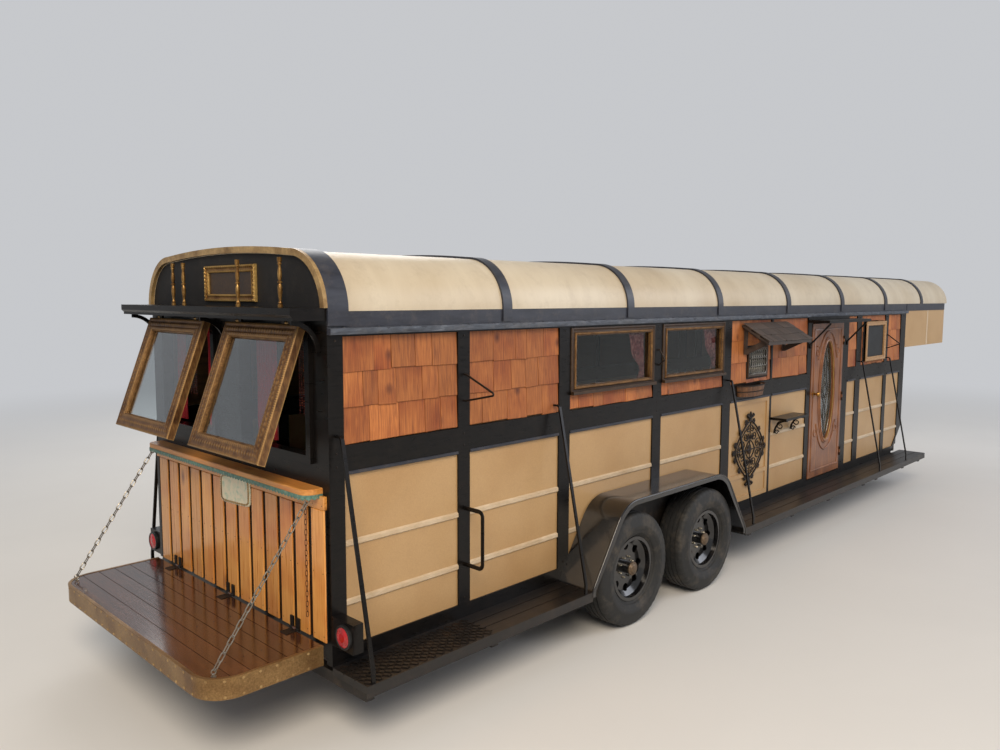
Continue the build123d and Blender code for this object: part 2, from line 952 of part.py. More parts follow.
def outer_knuckles(point, direction):
    """Two knuckles of the fixed side with the pin that runs through all three."""
    axis = Vector(*direction)
    for s in (-1, 1):
        rod(Vector(*point) + axis * (s * knuckle_long - knuckle_long / 2), direction, knuckle_long, knuckle_radius)
    rod(Vector(*point) - axis * knuckle_long, direction, 2 * knuckle_long, pin_radius)


# Rear deck: grooved boards on joists inside a riveted band, hinged at its inner edge
deck_inner = 38
deck_hinge_x = bx(-30)
deck_hinge_z = deck_top + knuckle_radius + 1
deck_corner = 170
deck_half = half - slat_edge
band_thick = 4
band_tall = 100
deck_board = 25
deck_groove = 4
deck_board_wide = 96
joist_tall = 50
joist_wide = 40
joist_short = 130
deck_hinge_inset = 278


def deck_outline(inset):
    """Plan of the deck with its two rounded outer corners, moved inwards by this much."""
    FilletPolyline(
        (bx(-deck_inner), -deck_half + inset),
        (bx(-deck_length + inset), -deck_half + inset),
        (bx(-deck_length + inset), deck_half - inset),
        (bx(-deck_inner), deck_half - inset),
        radius=deck_corner - inset,
    )


deck_hinge_ys = [s * (deck_half - deck_hinge_inset) for s in (-1, 0, 1)]
with BuildPart() as rear_deck:
    with BuildSketch(Plane.XY.offset(deck_top - deck_board)):
        with BuildLine():
            deck_outline(band_thick)
            Line((bx(-deck_inner), deck_half - band_thick), (bx(-deck_inner), -deck_half + band_thick))
        make_face()
    extrude(amount=deck_board)
    for k in range(1, int((deck_length - deck_inner) / deck_board_wide) + 1):
        x = bx(-deck_inner - k * deck_board_wide)
        if x > bx(-deck_length + band_thick + deck_board_wide / 4):
            block(
                x - deck_groove / 2,
                x + deck_groove / 2,
                -deck_half,
                deck_half,
                deck_top - deck_groove,
                deck_top,
                mode=Mode.SUBTRACT,
            )
    for s in (-0.82, -0.31, 0.31, 0.82):
        block(
            bx(-deck_length + joist_short),
            bx(-deck_inner),
            s * deck_half - joist_wide / 2,
            s * deck_half + joist_wide / 2,
            deck_top - deck_board - joist_tall,
            deck_top - deck_board,
        )
    for y in deck_hinge_ys:
        block(
            deck_hinge_x - knuckle_radius - leaf_long,
            deck_hinge_x,
            y - knuckle_long / 2 + knuckle_gap,
            y + knuckle_long / 2 - knuckle_gap,
            deck_top,
            deck_top + leaf_thick,
        )
        middle_knuckle((deck_hinge_x, y, deck_hinge_z), (0, 1, 0))
save(rear_deck, "rear_deck")

with BuildPart() as deck_band:
    with BuildSketch(Plane.XY.offset(deck_top - band_tall)):
        with BuildLine():
            for inset in (0, band_thick):
                deck_outline(inset)
            for s in (-1, 1):
                Line((bx(-deck_inner), s * deck_half), (bx(-deck_inner), s * (deck_half - band_thick)))
        make_face()
    extrude(amount=band_tall)
save(deck_band, "deck_band")

# Chains from the counter's front corners to the deck's outer corners: links between two eyes
chain_top_in = 25
chain_top_side = 85
chain_end_in = 68
chain_end_side = 104
link_wire = 7
link_wide = 30
link_corner = 9
link_inner_corner = 4
link_count = 21
eye_radius = 15
eye_hole = 9
eye_thick = 6
eye_stem = 10
eye_sides = 8
eye_stand = eye_radius + 7


def chain_eye(centre, rise):
    """Ring in the plane of the chain's side, on a stem that rises or drops to the piece that holds it."""
    with BuildSketch(upright(centre.Y + eye_thick / 2)) as ring:
        with Locations((centre.X, centre.Z)):
            RegularPolygon(eye_radius, eye_sides, major_radius=False)
        with Locations((centre.X, centre.Z + rise / 2)):
            Rectangle(eye_stem, abs(rise))
        with Locations((centre.X, centre.Z)):
            RegularPolygon(eye_hole, eye_sides, major_radius=False, mode=Mode.SUBTRACT)
    extrude(ring.sketch, amount=eye_thick)


def octagon_ring(long, wide, corner):
    """Corner points of a link's outline: a rectangle with its corners cut off."""
    a, b = long / 2, wide / 2
    return [
        (a, -b + corner),
        (a, b - corner),
        (a - corner, b),
        (-a + corner, b),
        (-a, b - corner),
        (-a, -b + corner),
        (-a + corner, -b),
        (a - corner, -b),
    ]


with BuildPart() as deck_chains:
    for side in (-1, 1):
        top = Vector(
            bx(-counter_out + chain_top_in),
            side * (half - chain_top_side),
            counter_top - counter_thick - eye_stand,
        )
        end = Vector(bx(-deck_length + chain_end_in), side * (half - chain_end_side), deck_top + eye_stand)
        chain_eye(top, eye_stand)
        chain_eye(end, -eye_stand)
        along = (end - top).normalized()
        hook = sqrt(eye_hole**2 - (link_wire / 2) ** 2) - seat
        pitch = ((end - top).length - 2 * hook - seat) / link_count
        inner = pitch + seat
        flat = Vector(0, 1, 0).cross(along).normalized()
        edge = along.cross(flat)
        start = top + along * hook
        for k in range(link_count):
            middle = start + along * (inner / 2 + k * pitch)
            normal = flat if k % 2 == 0 else edge
            with BuildSketch(Plane(middle - normal * (link_wire / 2), x_dir=along, z_dir=normal)):
                with BuildLine():
                    Polyline(*octagon_ring(inner + 2 * link_wire, link_wide, link_corner), close=True)
                make_face()
                with BuildLine() as inside:
                    Polyline(*octagon_ring(inner, link_wide - 2 * link_wire, link_inner_corner), close=True)
                make_face(inside.edges(), mode=Mode.SUBTRACT)
            extrude(amount=link_wire)
save(deck_chains, "deck_chains")

# Awning windows: top hinged from the canopy, standing open; moulded frames with a pane in a groove
window_open = 20
window_hinge_x = bx(-63)
window_hinge_z = canopy_low - 17
window_tall = 700
window_gap = 8
window_half = 370
window_thick = 35
window_bar = 75
window_bead = 22
window_bead_out = 6
window_hinge_apart = 250
window_lug = 20
glass_thick = 5
glass_groove = 8


def window_plane(side, out):
    """Plane on a window: sketch x is Y, sketch y runs down the window, the normal points outwards."""
    a = radians(window_open)
    normal = Vector(-cos(a), 0, sin(a))
    origin = Vector(window_hinge_x, side * opening_y, window_hinge_z) + normal * out
    return Plane(origin, x_dir=(0, 1, 0), z_dir=normal)


for side_name, side in (("right", -1), ("left", 1)):
    pane_half = window_half - window_bar + glass_groove
    pane_tall = window_tall - 2 * window_bar + 2 * glass_groove
    middle = window_gap + window_tall / 2
    with BuildPart() as awning_frame:
        with BuildSketch(window_plane(side, -window_thick)):
            with Locations((0, middle)):
                Rectangle(2 * window_half, window_tall)
                Rectangle(2 * (window_half - window_bar), window_tall - 2 * window_bar, mode=Mode.SUBTRACT)
            for s in (-1, 1):
                with Locations((s * window_hinge_apart, (window_gap + window_lug) / 2)):
                    Rectangle(knuckle_long - 2 * knuckle_gap, window_gap + window_lug)
        extrude(amount=window_thick)
        for inset in (window_bead / 2, window_bar - window_bead):
            with BuildSketch(window_plane(side, 0)):
                with Locations((0, middle)):
                    Rectangle(2 * (window_half - inset), window_tall - 2 * inset)
                    Rectangle(
                        2 * (window_half - inset - window_bead),
                        window_tall - 2 * (inset + window_bead),
                        mode=Mode.SUBTRACT,
                    )
            extrude(amount=window_bead_out)
        with BuildSketch(window_plane(side, -window_thick / 2 - glass_thick / 2)):
            with Locations((0, middle)):
                Rectangle(2 * pane_half, pane_tall)
        extrude(amount=glass_thick, mode=Mode.SUBTRACT)
        for s in (-1, 1):
            y = side * opening_y + s * window_hinge_apart
            middle_knuckle((window_hinge_x, y, window_hinge_z), (0, 1, 0))
    save(awning_frame, f"awning_frame_{side_name}")
    with BuildPart() as awning_glass:
        with BuildSketch(window_plane(side, -window_thick / 2 - glass_thick / 2)):
            with Locations((0, middle)):
                Rectangle(2 * pane_half, pane_tall)
        extrude(amount=glass_thick)
    save(awning_glass, f"awning_glass_{side_name}")

# Curtain rods on brackets inside the rear wall, and a gathered curtain at the inner side of each window
curtain_rod_radius = 8
curtain_x = bx(wall + 26)
curtain_wide = 215
curtain_thick = 16
curtain_low = 1445
curtain_rod_z = 2085
curtain_inner = 200
with BuildPart() as curtain_rods:
    for side in (-1, 1):
        rod_long = 2 * opening_half + 30
        y0 = side * opening_y - rod_long / 2
        rod((curtain_x, y0, curtain_rod_z), (0, 1, 0), rod_long, curtain_rod_radius)
        for y in (y0 + 10, y0 + rod_long - 10):
            block(bx(wall), curtain_x, y - 6, y + 6, curtain_rod_z - 6, curtain_rod_z + 6)
save(curtain_rods, "curtain_rods")

with BuildPart() as curtains:
    for side in (-1, 1):
        block(
            curtain_x - curtain_thick / 2,
            curtain_x + curtain_thick / 2,
            side * curtain_inner,
            side * (curtain_inner + curtain_wide),
            curtain_low,
            curtain_rod_z - curtain_rod_radius - seat,
        )
save(curtains, "curtains")

# Entry door with an oval light in a raised ring, hinged at its front edge
door_gap = 5
door_thick = 40
door_proud = 5
door_low = board_top + door_sill + 12
door_high = door_head - 8
oval_wide = 320
oval_tall = 1000
oval_z = 1300
oval_ring = 28
oval_out = 8
knob_in = 75
knob_z = 1290
door_start, door_end = bay_of("door")
door_middle = bx((door_start + door_end) / 2)
door_face = -half - door_proud
door_hinge_x = bx(door_end - door_gap / 2)
door_hinge_y = door_face - knuckle_radius
door_hinge_zs = [door_low + share * (door_high - door_low) for share in (0.12, 0.5, 0.88)]
door_lug = 12
with BuildPart() as entry_door:
    with BuildSketch(upright(door_face + door_thick)):
        with Locations((door_middle, (door_low + door_high) / 2)):
            Rectangle(door_end - door_start - 2 * door_gap, door_high - door_low)
        with Locations((door_middle, oval_z)):
            Ellipse(oval_wide / 2, oval_tall / 2, mode=Mode.SUBTRACT)
    extrude(amount=door_thick)
    with BuildSketch(upright(door_face)):
        with Locations((door_middle, oval_z)):
            Ellipse(oval_wide / 2 + oval_ring, oval_tall / 2 + oval_ring)
            Ellipse(oval_wide / 2, oval_tall / 2, mode=Mode.SUBTRACT)
    extrude(amount=oval_out)
    for z in door_hinge_zs:
        z0 = z - knuckle_long / 2 + knuckle_gap
        z1 = z + knuckle_long / 2 - knuckle_gap
        block(door_hinge_x - door_lug, door_hinge_x, door_hinge_y, door_face, z0, z1)
        block(door_hinge_x - leaf_long, door_hinge_x - door_lug, door_face - leaf_thick, door_face, z0, z1)
        middle_knuckle((door_hinge_x, door_hinge_y, z), (0, 0, 1))
save(entry_door, "entry_door")

with BuildPart() as door_glass:
    with BuildSketch(upright(door_face + door_thick / 2 + pane_thick / 2)):
        with Locations((door_middle, oval_z)):
            Ellipse(oval_wide / 2 - seat, oval_tall / 2 - seat)
    extrude(amount=pane_thick)
save(door_glass, "door_glass")

# Knob turned about its stem: distance out from the door and radius
knob_turns = [(0, 30), (6, 30), (8, 11), (30, 11), (38, 24), (50, 27), (60, 22), (64, 10)]
with BuildPart() as door_knob:
    knob_x = bx(door_start + knob_in)
    with BuildSketch(Plane((knob_x, door_face, knob_z), x_dir=(1, 0, 0), z_dir=(0, 0, -1))):
        with BuildLine():
            Polyline((0, 0), *[(radius, out) for out, radius in knob_turns], (0, knob_turns[-1][0]), close=True)
        make_face()
    revolve(axis=Axis((knob_x, 0, knob_z), (0, 1, 0)))
save(door_knob, "door_knob")

# Hood over the door: a board on two diagonal braces
hood_out = 210
hood_low = door_head + 5
hood_thick = 28
hood_rear = 105
hood_front = 180
brace_radius = 9
brace_rise = 230
with BuildPart() as door_hood:
    block(
        bx(door_start - hood_rear),
        bx(door_end + hood_front),
        -half - hood_out,
        -half,
        hood_low,
        hood_low + hood_thick,
    )
    for x in (bx(door_start - hood_rear / 2), bx(door_end + hood_front / 2)):
        bent_rod(
            [
                (x, -half - brace_radius, hood_low - brace_rise - 20),
                (x, -half - brace_radius, hood_low - brace_rise + 20),
                (x, -half - hood_out + 15, hood_low - brace_radius),
                (x, -half - hood_out + 15, hood_low),
            ],
            brace_radius,
            8,
        )
save(door_hood, "door_hood")

# Fixed halves of all the hinges, with their pins
with BuildPart() as hinges:
    for y in deck_hinge_ys:
        outer_knuckles((deck_hinge_x, y, deck_hinge_z), (0, 1, 0))
        for s in (-1, 1):
            y0 = y + s * knuckle_long - knuckle_long / 2
            block(
                deck_hinge_x, bx(-slat_thick), y0, y0 + knuckle_long, deck_hinge_z, deck_hinge_z + leaf_long
            )
    for side in (-1, 1):
        for s in (-1, 1):
            y = side * opening_y + s * window_hinge_apart
            outer_knuckles((window_hinge_x, y, window_hinge_z), (0, 1, 0))
            for t in (-1, 1):
                y0 = y + t * knuckle_long - knuckle_long / 2
                block(
                    window_hinge_x - knuckle_radius,
                    window_hinge_x + knuckle_radius,
                    y0,
                    y0 + knuckle_long,
                    window_hinge_z,
                    canopy_low,
                )
    for z in door_hinge_zs:
        outer_knuckles((door_hinge_x, door_hinge_y, z), (0, 0, 1))
        for s in (-1, 1):
            z0 = z + s * knuckle_long - knuckle_long / 2
            block(door_hinge_x, door_hinge_x + door_lug, door_hinge_y, -half, z0, z0 + knuckle_long)
            block(
                door_hinge_x + door_lug, door_hinge_x + leaf_long, -half - leaf_thick, -half, z0, z0 + knuckle_long
            )
save(hinges, "hinges")

# Gooseneck: two risers with cross ties, two beams under the nose and a drop tube for the coupler
beam_y = 400
beam_wide = 100
beam_tall = 120
tie_z = 900
tie_tall = 100
coupler_back = 430
coupler_x = nose_front_x - coupler_back
coupler_tube = 140
coupler_low = 1130
coupler_tall = 120
coupler_radius = 60
with BuildPart() as gooseneck:
    riser_x = front_x + riser_gap
    for side in (-1, 1):
        y0 = side * beam_y - beam_wide / 2
        block(riser_x, riser_x + riser_deep, y0, y0 + beam_wide, chassis_bottom, nose_floor)
        with BuildSketch(upright(y0 + beam_wide)):
            with BuildLine():
                Polyline(
                    (riser_x, nose_floor),
                    (riser_x, nose_floor - 3 * beam_tall),
                    (riser_x + riser_deep, nose_floor - 3 * beam_tall),
                    (riser_x + riser_deep + 2 * beam_tall, nose_floor - beam_tall),
                    (coupler_x + coupler_tube, nose_floor - beam_tall),
                    (coupler_x + coupler_tube, nose_floor),
                    close=True,
                )
            make_face()
        extrude(amount=beam_wide)
    for z0, z1 in ((chassis_bottom, floor_bottom), (tie_z, tie_z + tie_tall), (nose_floor - beam_tall, nose_floor)):
        block(riser_x, riser_x + riser_deep, -rail_y, rail_y, z0, z1)
    block(
        coupler_x - coupler_tube,
        coupler_x + coupler_tube,
        -beam_y,
        beam_y,
        nose_floor - beam_tall,
        nose_floor,
    )
    block(
        coupler_x - coupler_tube / 2,
        coupler_x + coupler_tube / 2,
        -coupler_tube / 2,
        coupler_tube / 2,
        coupler_low + coupler_tall,
        nose_floor - beam_tall,
    )
save(gooseneck, "gooseneck")

socket_radius = 30
socket_deep = 75
with BuildPart() as coupler:
    with Locations((coupler_x, 0, coupler_low)):
        Cylinder(coupler_radius, coupler_tall, align=(Align.CENTER, Align.CENTER, Align.MIN))
        Cylinder(socket_radius, socket_deep, align=(Align.CENTER, Align.CENTER, Align.MIN), mode=Mode.SUBTRACT)
save(coupler, "coupler")

# Landing jacks: square legs in square tubes beside the beams, on foot plates
jack_out = 330
jack_x = front_x + jack_out
jack_size = 90
jack_leg = 68
jack_foot = 220
jack_split = 700
foot_thick = 12
with BuildPart() as landing_jacks:
    for side in (-1, 1):
        jack_y = side * (beam_y + beam_wide / 2 + jack_size / 2)
        for size, z0, z1 in (
            (jack_size, jack_split, nose_floor),
            (jack_leg, foot_thick, jack_split),
            (jack_foot, 0, foot_thick),
        ):
            block(jack_x - size / 2, jack_x + size / 2, jack_y - size / 2, jack_y + size / 2, z0, z1)
save(landing_jacks, "landing_jacks")

# Side awning over the small window: a sloping board in stepped shingle courses on two brackets
awning_before = 150
awning_after = 370
awning_back_z = 2005
awning_out = 245
awning_drop = 150
awning_board = 16
awning_courses = 3
awning_butt = 14
awning_brace = 24
awning_brace_drop = 240
awning_brace_in = 40
with BuildPart() as side_awning:
    x0 = bx(small_middle - small_wide / 2 - awning_before)
    x1 = bx(small_middle + small_wide / 2 + awning_after)
    with BuildSketch(across(x0)):
        with BuildLine():
            Polyline(
                (-half, awning_back_z),
                (-half, awning_back_z - awning_board),
                (-half - awning_out, awning_back_z - awning_drop - awning_board),
                (-half - awning_out, awning_back_z - awning_drop),
                close=True,
            )
        make_face()
        for k in range(awning_courses):
            run = awning_out / awning_courses
            fall = awning_drop / awning_courses
            with BuildLine() as course:
                Polyline(
                    (-half - k * run, awning_back_z - k * fall),
                    (-half - (k + 1) * run, awning_back_z - (k + 1) * fall),
                    (-half - (k + 1) * run, awning_back_z - (k + 1) * fall + awning_butt),
                    close=True,
                )
            make_face(course.edges())
    extrude(amount=x1 - x0)
    slope = awning_drop / awning_out
    reach = awning_out - awning_brace_in
    for x in (x0 + awning_brace_in, x1 - awning_brace_in - awning_brace):
        with BuildSketch(across(x)):
            with BuildLine():
                Polyline(
                    (-half, awning_back_z - awning_board),
                    (-half, awning_back_z - awning_board - awning_brace_drop),
                    (-half - awning_brace, awning_back_z - awning_board - awning_brace_drop),
                    (-half - reach, awning_back_z - awning_board - reach * slope - awning_brace),
                    (-half - reach, awning_back_z - awning_board - reach * slope),
                    close=True,
                )
            make_face()
            with BuildLine() as hole:
                Polyline(
                    (-half - awning_brace, awning_back_z - awning_board - awning_brace * (slope + 1)),
                    (-half - awning_brace, awning_back_z - awning_board - awning_brace_drop + 2 * awning_brace),
                    (
                        -half - reach + 2 * awning_brace,
                        awning_back_z - awning_board - (reach - 2 * awning_brace) * slope - awning_brace,
                    ),
                    close=True,
                )
            make_face(hole.edges(), mode=Mode.SUBTRACT)
        extrude(amount=awning_brace)
save(side_awning, "side_awning")

# Planter box under the small window
planter_out = 95
planter_wall = 8
planter_long = 450
planter_low = panel_top + 34
planter_tall = 98
with BuildPart() as planter:
    middle = bx(small_middle - 150)
    block(
        middle - planter_long / 2,
        middle + planter_long / 2,
        -half - planter_out,
        -half,
        planter_low,
        planter_low + planter_tall,
    )
    block(
        middle - planter_long / 2 + planter_wall,
        middle + planter_long / 2 - planter_wall,
        -half - planter_out + planter_wall,
        -half - planter_wall,
        planter_low + planter_wall,
        planter_low + planter_tall,
        mode=Mode.SUBTRACT,
    )
save(planter, "planter")

# Wrought-iron medallion on the hatch: a lozenge of bar iron round rings, with a finial up and down
medallion_z = 909
medallion_half_wide = 285
medallion_half_tall = 278
medallion_power = 1.35
medallion_steps = 16
medallion_bar = 16
medallion_thick = 8
middle_ring = 80
cross_ring = 56
corner_ring = 48
corner_ring_place = (135, 125)
finial_ring = 34


def lozenge(inset):
    """Corner points of a lozenge with slightly swelling sides, moved inwards by this much."""
    points = []
    for k in range(medallion_steps):
        turn = 2 * pi * k / medallion_steps
        shares = [(1 if v > 0 else -1) * abs(v) ** (2 / medallion_power) for v in (cos(turn), sin(turn))]
        points.append(
            (
                bx((hatch_start + hatch_end) / 2) + (medallion_half_wide - inset) * shares[0],
                medallion_z + (medallion_half_tall - inset) * shares[1],
            )
        )
    return points


with BuildPart() as medallion:
    mid_x = bx((hatch_start + hatch_end) / 2)
    arm = middle_ring + cross_ring - medallion_bar / 2
    tip = medallion_half_tall + finial_ring - medallion_bar
    rings = [(0, 0, middle_ring), (0, -tip, finial_ring), (0, tip, finial_ring)]
    rings += [(dx, dz, cross_ring) for dx, dz in ((-arm, 0), (arm, 0), (0, -arm), (0, arm))]
    for dx in (-corner_ring_place[0], corner_ring_place[0]):
        rings += [(dx, dz, corner_ring) for dz in (-corner_ring_place[1], corner_ring_place[1])]
    with BuildSketch(upright(-half)):
        with BuildLine():
            Polyline(*lozenge(0), close=True)
        make_face()
        with BuildLine() as inside:
            Polyline(*lozenge(medallion_bar), close=True)
        make_face(inside.edges(), mode=Mode.SUBTRACT)
        with Locations((mid_x, medallion_z)):
            Rectangle(2 * medallion_half_wide - medallion_bar, medallion_bar)
            Rectangle(medallion_bar, 2 * medallion_half_tall - medallion_bar)
        for dx, dz, size in rings:
            with Locations((mid_x + dx, medallion_z + dz)):
                Circle(size)
                Circle(size - medallion_bar, mode=Mode.SUBTRACT)
    extrude(amount=medallion_thick)
save(medallion, "medallion")

# Shelf ahead of the hatch, on two iron brackets
shelf_long = 475
shelf_out = 150
shelf_z = 1150
shelf_thick = 22
shelf_bracket = 130
shelf_bar = 14
with BuildPart() as front_shelf:
    x0 = bx(hatch_end + 35)
    block(x0, x0 + shelf_long, -half - shelf_out, -half, shelf_z - shelf_thick, shelf_z)
    for x in (x0 + 60, x0 + shelf_long - 60 - shelf_bar):
        with BuildSketch(across(x)):
            with BuildLine():
                arc_y, arc_z = -half - shelf_bracket, shelf_z - shelf_thick - shelf_bracket
                CenterArc((arc_y, arc_z), shelf_bracket, 0, 90)
                Line((arc_y, arc_z + shelf_bracket), (arc_y, arc_z + shelf_bracket - shelf_bar))
                CenterArc((arc_y, arc_z), shelf_bracket - shelf_bar, 0, 90)
                Line((arc_y + shelf_bracket - shelf_bar, arc_z), (arc_y + shelf_bracket, arc_z))
            make_face()
        extrude(amount=shelf_bar)
save(front_shelf, "front_shelf")

# Framed board ahead of the door
sign_bar = 45
sign_out = 25
sign_recess = 14
with BuildPart() as sign_board:
    sign_wide = sign_end - sign_start - 2 * sign_edge
    sign_middle = (bx((sign_start + sign_end) / 2), (sign_low + sign_high) / 2)
    with BuildSketch(upright(-half + panel_inset)):
        with Locations(sign_middle):
            Rectangle(sign_wide, sign_high - sign_low)
    extrude(amount=panel_inset + sign_out)
    with BuildSketch(upright(-half - sign_out + sign_recess)):
        with Locations(sign_middle):
            Rectangle(sign_wide - 2 * sign_bar, sign_high - sign_low - 2 * sign_bar)
    extrude(amount=sign_recess, mode=Mode.SUBTRACT)
save(sign_board, "sign_board")

# Drip rails along the body under the feet of the bows, and a band under the eave of the nose
drip_out = 28
drip_low = upper_top + 10
drip_tall = 30
nose_band_thick = 6
with BuildPart() as drip_rails:
    for side in (-1, 1):
        block(bx(0), front_x, side * half, side * (half + drip_out), drip_low, drip_low + drip_tall)
        block(
            front_x,
            nose_front_x - nose_corner,
            side * half,
            side * (half + nose_band_thick),
            drip_low + drip_tall,
            eave,
        )
save(drip_rails, "drip_rails")

# Tail lamps: lenses in rings on boxes beside the rear corners
lamp_radius = 50
lamp_ring = 60
lamp_ring_out = 16
lamp_out = 24
lamp_box_wide = 180
lamp_box_deep = 60
lamp_box_tall = 150
lamp_side = 112
lamp_z = 575
with BuildPart() as lamp_boxes:
    for side in (-1, 1):
        block(
            bx(0),
            bx(lamp_box_deep),
            side * half,
            side * (half + lamp_box_wide),
            lamp_z - lamp_box_tall / 2,
            lamp_z + lamp_box_tall / 2,
        )
        rod((bx(0), side * (half + lamp_side), lamp_z), (-1, 0, 0), lamp_ring_out, lamp_ring)
        rod((bx(0), side * (half + lamp_side), lamp_z), (-1, 0, 0), lamp_ring_out, lamp_radius, mode=Mode.SUBTRACT)
save(lamp_boxes, "lamp_boxes")
with BuildPart() as tail_lamps:
    for side in (-1, 1):
        with BuildSketch(Plane((bx(0), side * (half + lamp_side), lamp_z), x_dir=(0, 1, 0), z_dir=(0, 0, 1))):
            with BuildLine():
                Polyline(
                    (0, 0),
                    (lamp_radius - seat, 0),
                    (lamp_radius - seat, lamp_ring_out),
                    (lamp_radius * 0.7, lamp_out - 2),
                    (0, lamp_out),
                    close=True,
                )
            make_face()
        revolve(axis=Axis((0, side * (half + lamp_side), lamp_z), (1, 0, 0)))
save(tail_lamps, "tail_lamps")

# Stay rods from the wall to the running boards' edges, hanger brackets and the gate latch
rod_radius = 8
stay_top = 1550
stay_out = 45
stay_foot = 60
stay_foot_in = 14
stay_bend = 20
stay_posts = (0, 4, 8, 9)
stay_before_fender = 55
hanger_radius = 6
hanger_stub = 16
# Hangers: post number, height of the upper end, drop to the lower end, reach
hangers = [(1, 1800, 150, 255), (3, 1850, 110, 60), (9, 1810, 150, 150)]
latch_top = 1030
latch_low = 700
latch_out = 150
latch_radius = 9
with BuildPart() as stay_rods:
    stay_xs = [bx(sum(posts[k]) / 2) for k in stay_posts] + [bx(fender_rear - stay_before_fender)]
    for side in (-1, 1):
        wall_y = side * (half + seat)
        foot_y = side * (outer_y - stay_foot_in)
        for x in stay_xs:
            bent_rod(
                [
                    (x, wall_y, stay_top),
                    (x, side * (half + stay_out), stay_top),
                    (x, foot_y, board_top + stay_foot),
                    (x, foot_y, board_top + seat),
                ],
                rod_radius,
                stay_bend,
            )
        for k, z, drop, out in hangers:
            x = bx(sum(posts[k]) / 2)
            bent_rod(
                [
                    (x, wall_y, z),
                    (x, side * (half + hanger_stub), z),
                    (x, side * (half + out), z - drop * 0.65),
                    (x, side * (half + hanger_stub), z - drop),
                    (x, wall_y, z - drop),
                ],
                hanger_radius,
                hanger_radius + 3,
            )
        x = bx(sum(posts[1]) / 2)
        bent_rod(
            [
                (x, wall_y, latch_top),
                (x, side * (half + latch_out), latch_top),
                (x, side * (half + latch_out), latch_low),
                (x, wall_y, latch_low),
            ],
            latch_radius,
            30,
        )
save(stay_rods, "stay_rods")
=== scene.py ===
import math

import bmesh
import bpy
import numpy as np
from mathutils import Matrix, Vector


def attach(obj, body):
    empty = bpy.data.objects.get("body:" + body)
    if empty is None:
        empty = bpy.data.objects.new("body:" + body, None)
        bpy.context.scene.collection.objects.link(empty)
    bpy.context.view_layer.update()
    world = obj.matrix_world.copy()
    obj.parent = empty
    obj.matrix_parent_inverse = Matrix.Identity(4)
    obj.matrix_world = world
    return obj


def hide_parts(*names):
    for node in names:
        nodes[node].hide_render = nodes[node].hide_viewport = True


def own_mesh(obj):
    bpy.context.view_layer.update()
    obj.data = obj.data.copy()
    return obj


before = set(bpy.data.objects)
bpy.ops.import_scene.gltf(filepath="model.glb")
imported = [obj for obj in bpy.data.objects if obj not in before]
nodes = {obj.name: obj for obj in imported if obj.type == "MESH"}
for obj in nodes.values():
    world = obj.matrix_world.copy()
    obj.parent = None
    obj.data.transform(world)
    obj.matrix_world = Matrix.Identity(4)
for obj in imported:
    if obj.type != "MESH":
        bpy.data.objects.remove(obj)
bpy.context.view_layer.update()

draw = np.random.default_rng(7)
sides = {"right": -1, "left": 1}


def at(ahead):
    # place along X, in metres, of a point this many millimetres ahead of the body's rear face
    return (np.asarray(ahead) - 4580) / 1000


def gridFaces(rows, cols, wrapRows=False, wrapCols=False):
    # four-sided faces of a grid whose point (i, j) has the number i * cols + j
    i, j = np.meshgrid(np.arange(rows - (not wrapRows)), np.arange(cols - (not wrapCols)), indexing="ij")
    k, m = (i + 1) % rows, (j + 1) % cols
    return np.stack([i * cols + j, k * cols + j, k * cols + m, i * cols + m], -1).reshape(-1, 4)


def many(points, faces, count):
    # faces for this many copies of one shape whose points follow each other
    step = np.arange(count)[:, None, None] * points
    return (faces[None] + step).reshape(-1, faces.shape[1])


def scatter(points, faces, places):
    # one small shape set down at many places
    return (places[:, None] + points).reshape(-1, 3), many(len(points), faces, len(places))


def stacked(*coordinates):
    # points from their coordinates, each of them a number or an array
    return np.stack(np.broadcast_arrays(*coordinates), -1)


def fullTurn(count):
    # this many angles spread evenly round a circle
    return np.linspace(0, 2 * np.pi, count, endpoint=False)


def crossings(first, second):
    # every pair of a value from one list and a value from the other
    return (line.ravel() for line in np.meshgrid(first, second))


def makePiece(name, parts, material, body="wagon", tone=None, sharp=32, replaces=(), weld=True):
    # parts is a list of (points, faces, faces...); tone is one number for each point; body is None for the floor
    points, start, total, corner = [], [], [], []
    count, loops = 0, 0
    for shape in parts:
        p = np.asarray(shape[0], float).reshape(-1, 3)
        for faces in shape[1:]:
            faces = np.asarray(faces, int)
            corner.append(faces.ravel() + count)
            total.append(np.full(len(faces), faces.shape[1]))
            start.append(loops + np.arange(len(faces)) * faces.shape[1])
            loops += faces.size
        points.append(p)
        count += len(p)
    points = np.concatenate(points)
    mesh = bpy.data.meshes.new(name)
    mesh.vertices.add(count)
    mesh.vertices.foreach_set("co", points.astype(np.float32).ravel())
    mesh.loops.add(loops)
    mesh.loops.foreach_set("vertex_index", np.concatenate(corner).astype(np.int32))
    mesh.polygons.add(sum(len(t) for t in total))
    mesh.polygons.foreach_set("loop_start", np.concatenate(start).astype(np.int32))
    mesh.polygons.foreach_set("loop_total", np.concatenate(total).astype(np.int32))
    mesh.update(calc_edges=True)
    if tone is not None:
        mesh.attributes.new("tone", "FLOAT", "POINT").data.foreach_set("value", np.asarray(tone, np.float32))
    work = bmesh.new()
    work.from_mesh(mesh)
    if weld:
        bmesh.ops.remove_doubles(work, verts=work.verts, dist=1e-6)
    bmesh.ops.recalc_face_normals(work, faces=work.faces)
    work.to_mesh(mesh)
    work.free()
    mesh.polygons.foreach_set("use_smooth", np.ones(len(mesh.polygons), bool))
    mesh.set_sharp_from_angle(angle=math.radians(sharp))
    mesh.materials.append(material)
    obj = bpy.data.objects.new(name, mesh)
    bpy.context.scene.collection.objects.link(obj)
    if body:
        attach(obj, body)
    if replaces:
        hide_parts(*replaces)
    return obj


